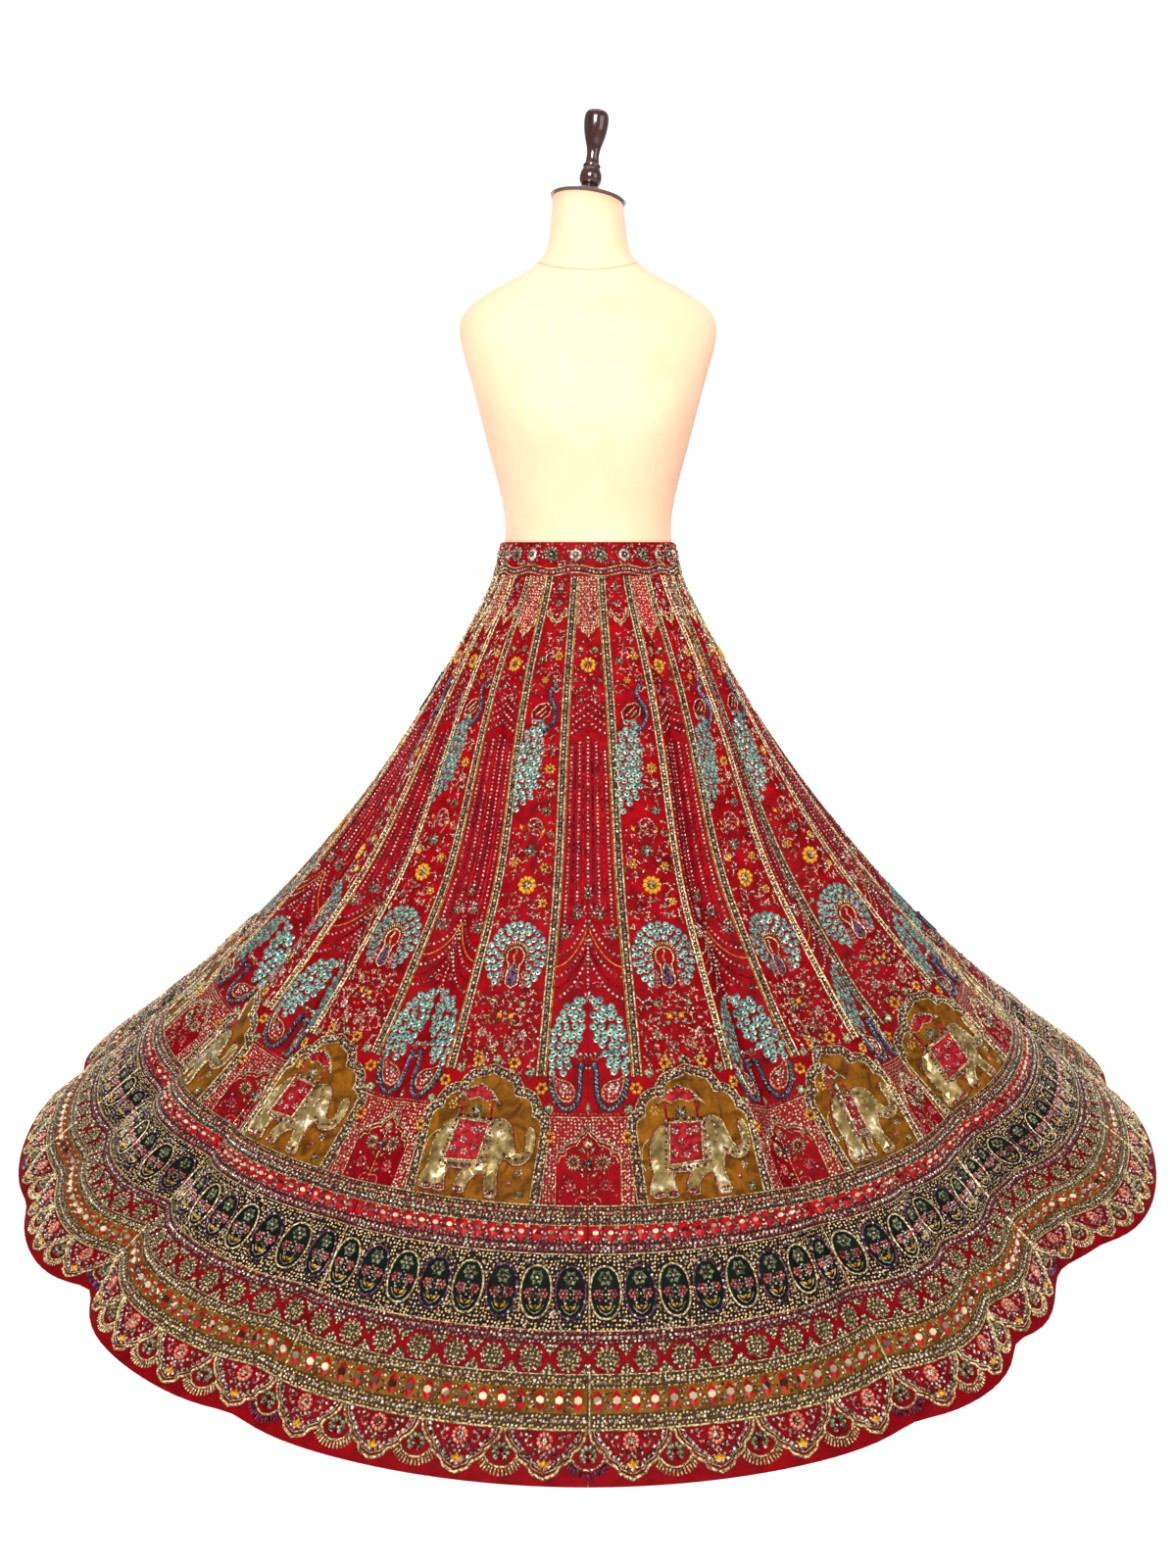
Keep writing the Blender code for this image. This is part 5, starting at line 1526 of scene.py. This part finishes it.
for number in range(SCALLOPS):
    middle = ((number + 0.5) / SCALLOPS, 0.0, SCALLOP_TOP)
    gap = (number / SCALLOPS, 0.0, SCALLOP_TOP)
    for shrink, width in ((1.0, 0.0032), (0.90, 0.0014)):
        cord(lay(scallop * shrink, middle), gold, width, 0.0022, 0.009)
    row = lay(scallop * 0.81, middle)
    cord(row, maroon, 0.0046, 0.0006)
    beads(row, 0.0048, 0.0042, silver, lift=0.0006)
    ring_flower(lay((0.0, -0.0085), middle)[0], 0.0082, 11, salmon, old_gold)
    spots = tenths((0, -180), *((way * across, up) for across, up in (
        (45, -165), (22, -205), (125, -50), (165, -85), (120, -120), (210, -40), (80, -145),
        (165, -35), (90, -180), (50, -240)) for way in SIDES))
    put("bead", lay(spots, middle), (0.0034, 0.0034, 0.0024), silver, spots[:, 0] * 90.0)
    for turn in (-0.8, 0.0, 0.8):
        leaf(lay((0.0, -0.0295), middle)[0], turn, 0.0076, 0.0046, yellow, 0.0024)
    for side in SIDES:
        curl(lay((side * 0.0105, -0.0040), middle)[0], 0.012, side * -1.4, side, pink)
    cord(lay(lobe, gap), gold, 0.0024, 0.0020, 0.02)
    ends = (lay(lobe * (1.04, 1.0) - (0.0, 0.0018), gap),
            lay(lobe * (1.34, 1.0) - (0.0, 0.0068), gap))
    for bar in np.linspace(0.0, len(lobe) - 1.0, FRINGE_BARS):
        cord([[np.interp(bar, np.arange(len(lobe)), end[:, k]) for k in range(3)] for end in ends],
             (gold, purple)[number == 0], 0.0020, 0.0016)
    spots, turns = ring(0.0058, 8, math.radians(-40.0), 1.0, math.radians(260.0))
    put("stud", lay(spots - (0.0, 0.0185), gap), (0.0048, 0.0056, 0.0024), leaf_green,
        turns - PETAL_WAY)
    for across, up in ((0, -168), (-22, -196), (22, -196), (0, -228), (-34, -232), (34, -232)):
        put("bead", lay(tenths((across, up)), gap), (0.0030, 0.0030, 0.0024),
            (maroon, silver)[across != 0])
for top, foot in ((BLACK_TOP, BLACK_FOOT), (0.9700, SCALLOP_TOP)):   # the cord down each seam
    cord(flat_at(0.0, SEAM_MARGIN + 0.0008, np.linspace(top, foot, 6)), gold, 0.0026, 0.0026, 0.02)


# ---------------------------------------------------------------- the waistband's sewn work
# Rosettes of cut beads, grey-green and cream by turn with a pink ring, on velvet sewn thick
# with silver and pink beads. Under the band a wavy pair of gold cords runs round, with a row
# of silver beads between them, over the joint with the kalis.
BAND_BEADS = 76              # loose beads on the band, on the width of one kali
for number, (disc, petal, rim) in enumerate(((green, leaf_green, silver), (cream, cream, pink))):
    middle = ((number + 0.5) / 2.0, 0.0, BAND_HEIGHT * 0.50)
    put("disc", middle, (0.0175, 0.0175, 0.0010), disc)
    rosette(middle, 0.0066, petal, black, silver, 9, 0.0034)
    spots, turns = ring(0.0092, 12)
    put("bead", lay(spots, middle), (0.0032, 0.0032, 0.0022), rim, turns)
spots = across_kali(0.0, 0.001, BAND_BEADS)
spots[:, 0] += chance.uniform(-0.01, 0.01, BAND_BEADS)
spots[:, 2] = chance.uniform(0.0025, BAND_HEIGHT - 0.0030, BAND_BEADS)
away = ((spots[:, 0] * 2.0) % 1.0 - 0.5) / 2.0 * float(kali_width(0.017))
clear = np.hypot(away, spots[:, 2] - BAND_HEIGHT / 2.0) > 0.0105
sprinkle(spots[clear], (0.0036, 0.0036, 0.0022), 0.0004, (silver, pink, old_gold))
wave = across_kali(0.0, 0.0, 13)
ripple = 0.0026 * np.sin(wave[:, 0] * math.tau)
for down in (0.0330, 0.0430):
    cord(flat_at(wave[:, 0], 0.0, down + ripple), gold, 0.0028, 0.0024, 0.03)
beads(flat_at(wave[:, 0], 0.0, 0.0380 + ripple), 0.0050, 0.0042, silver, lift=0.0008)


# ---------------------------------------------------------------- the sewn work on the cloth
# One kali's work is laid on each of the sixteen: every point finds its place on the velvet
# between the four points of the cloth's grid round it, and stands up by its own height.
flat_work = np.concatenate(sewn_points)


def on_cloth(kali):
    """The flat work as points on the skirt, for one of its kalis."""
    share, across, down, height = flat_work[:, :4].T
    column = ((kali + share + across / kali_width(down)) % KALIS) * COLUMNS
    row = np.interp(down, row_places, np.arange(len(row_places)))
    left = np.minimum(column.astype(int), KALIS * COLUMNS - 1)
    top = np.minimum(row.astype(int), len(row_places) - 2)
    over, under = (column - left)[:, None], (row - top)[:, None]

    def between(table):
        upper, lower = (table[line, left] * (1.0 - over) + table[line, left + 1] * over
                        for line in (top, top + 1))
        return upper * (1.0 - under) + lower * under

    return between(ring_points) + between(ring_normals) * height[:, None]


pattern = bpy.data.meshes.new("kali_embroidery_01")
pattern.from_pydata(on_cloth(0).tolist(), [], sewn_faces)
pattern.polygons.foreach_set("material_index", sewn_finishes)
for finish in finishes.values():
    pattern.materials.append(finish)
flat_uv(pattern, unrolled(flat_work))
# Each point's crest, by which the finishes paint shade at the foot of every bead and cord.
crest = pattern.attributes.new("crest", "FLOAT", "POINT")
crest.data.foreach_set("value", flat_work[:, 4].astype(np.float32))
pattern.update()
for kali, (velvet_piece, cut) in enumerate(kali_pieces):
    mesh = pattern.copy() if kali else pattern
    mesh.name = f"kali_embroidery_{kali + 1:02d}"
    mesh.vertices.foreach_set("co", on_cloth(kali).astype(np.float32).ravel())
    mesh.update()
    work = keep(mesh.name, mesh)


# ---------------------------------------------------------------- the floor, lights and camera
# A pale paper floor that sweeps up behind in one seamless curve, four broad soft lights on the
# skirt, its top and the backdrop, and the camera. None of them is part of the object.
FLOOR_HALF, SWEEP_START, SWEEP_RADIUS, SWEEP_TOP = 7.0, 2.2, 2.2, 6.0
turns = np.linspace(0.0, math.pi / 2.0, 17)[1:]
profile = [(-FLOOR_HALF, 0.0), (SWEEP_START, 0.0),
           *((SWEEP_START + SWEEP_RADIUS * math.sin(turn), SWEEP_RADIUS * (1.0 - math.cos(turn)))
             for turn in turns), (SWEEP_START + SWEEP_RADIUS, SWEEP_TOP)]
bm = bmesh.new()
verts = [bm.verts.new((-FLOOR_HALF, y, z)) for y, z in profile]
edges = [bm.edges.new(pair) for pair in zip(verts, verts[1:])]
swept = bmesh.ops.extrude_edge_only(bm, edges=edges)["geom"]
bmesh.ops.translate(bm, vec=(2.0 * FLOOR_HALF, 0.0, 0.0), verts=points_of(swept))
bmesh.ops.recalc_face_normals(bm, faces=bm.faces)
if max(bm.faces, key=lambda face: face.calc_area()).normal.z < 0.0:
    bmesh.ops.reverse_faces(bm, faces=bm.faces)
paper, tree, shader = material("seamless_paper", (0.90, 0.90, 0.90), 0.9)
tooth = noise(tree, object_place(tree), 300.0)
wire(tree, shader,
     Base_Color=ramp(tree, tooth, (0.3, (0.88, 0.88, 0.88)), (0.7, (0.92, 0.92, 0.915))))
link("floor", smooth_mesh(bm, "floor", [paper]))

for name, place, aim, size, power in (
        ("key", (-0.5, -3.2, 2.4), (0.0, 0.0, 0.5), (1.2, 1.2), 165.0),
        ("fill", (2.6, -2.2, 1.8), (0.0, 0.0, 0.5), (2.0, 2.0), 26.0),
        ("top", (0.0, 0.3, 3.6), (0.0, 0.0, 0.0), (2.5, 2.5), 22.0),
        ("backdrop", (0.0, 1.6, 3.4), (0.0, 4.4, 1.4), (5.0, 1.0), 170.0)):
    lamp = bpy.data.lights.new(name, "AREA")
    lamp.shape = "RECTANGLE"
    lamp.size, lamp.size_y = size
    lamp.energy = power
    made = link(name, lamp)
    made.location = place
    made.rotation_euler = (Vector(aim) - Vector(place)).to_track_quat("-Z", "Y").to_euler()
world = bpy.data.worlds.new("studio")
bpy.context.scene.world = world
world.use_nodes = True
sky = world.node_tree.nodes["Background"]
sky.inputs["Color"].default_value = (1.0, 1.0, 1.0, 1.0)
sky.inputs["Strength"].default_value = 0.34

SENSOR, FOCAL_SHARE = 36.0, 1130.0 / 1600.0   # millimetres, and the focal length as its share
camera = bpy.data.cameras.new("camera")
camera.sensor_fit = "AUTO"
camera.sensor_width = SENSOR
camera.lens = SENSOR * FOCAL_SHARE
viewpoint = link("camera", camera)
viewpoint.location = (0.0, -1.6, 0.788)
viewpoint.rotation_euler = (math.radians(77.9), 0.0, 0.0)
bpy.context.scene.camera = viewpoint
bpy.context.scene.view_settings.view_transform = "Standard"
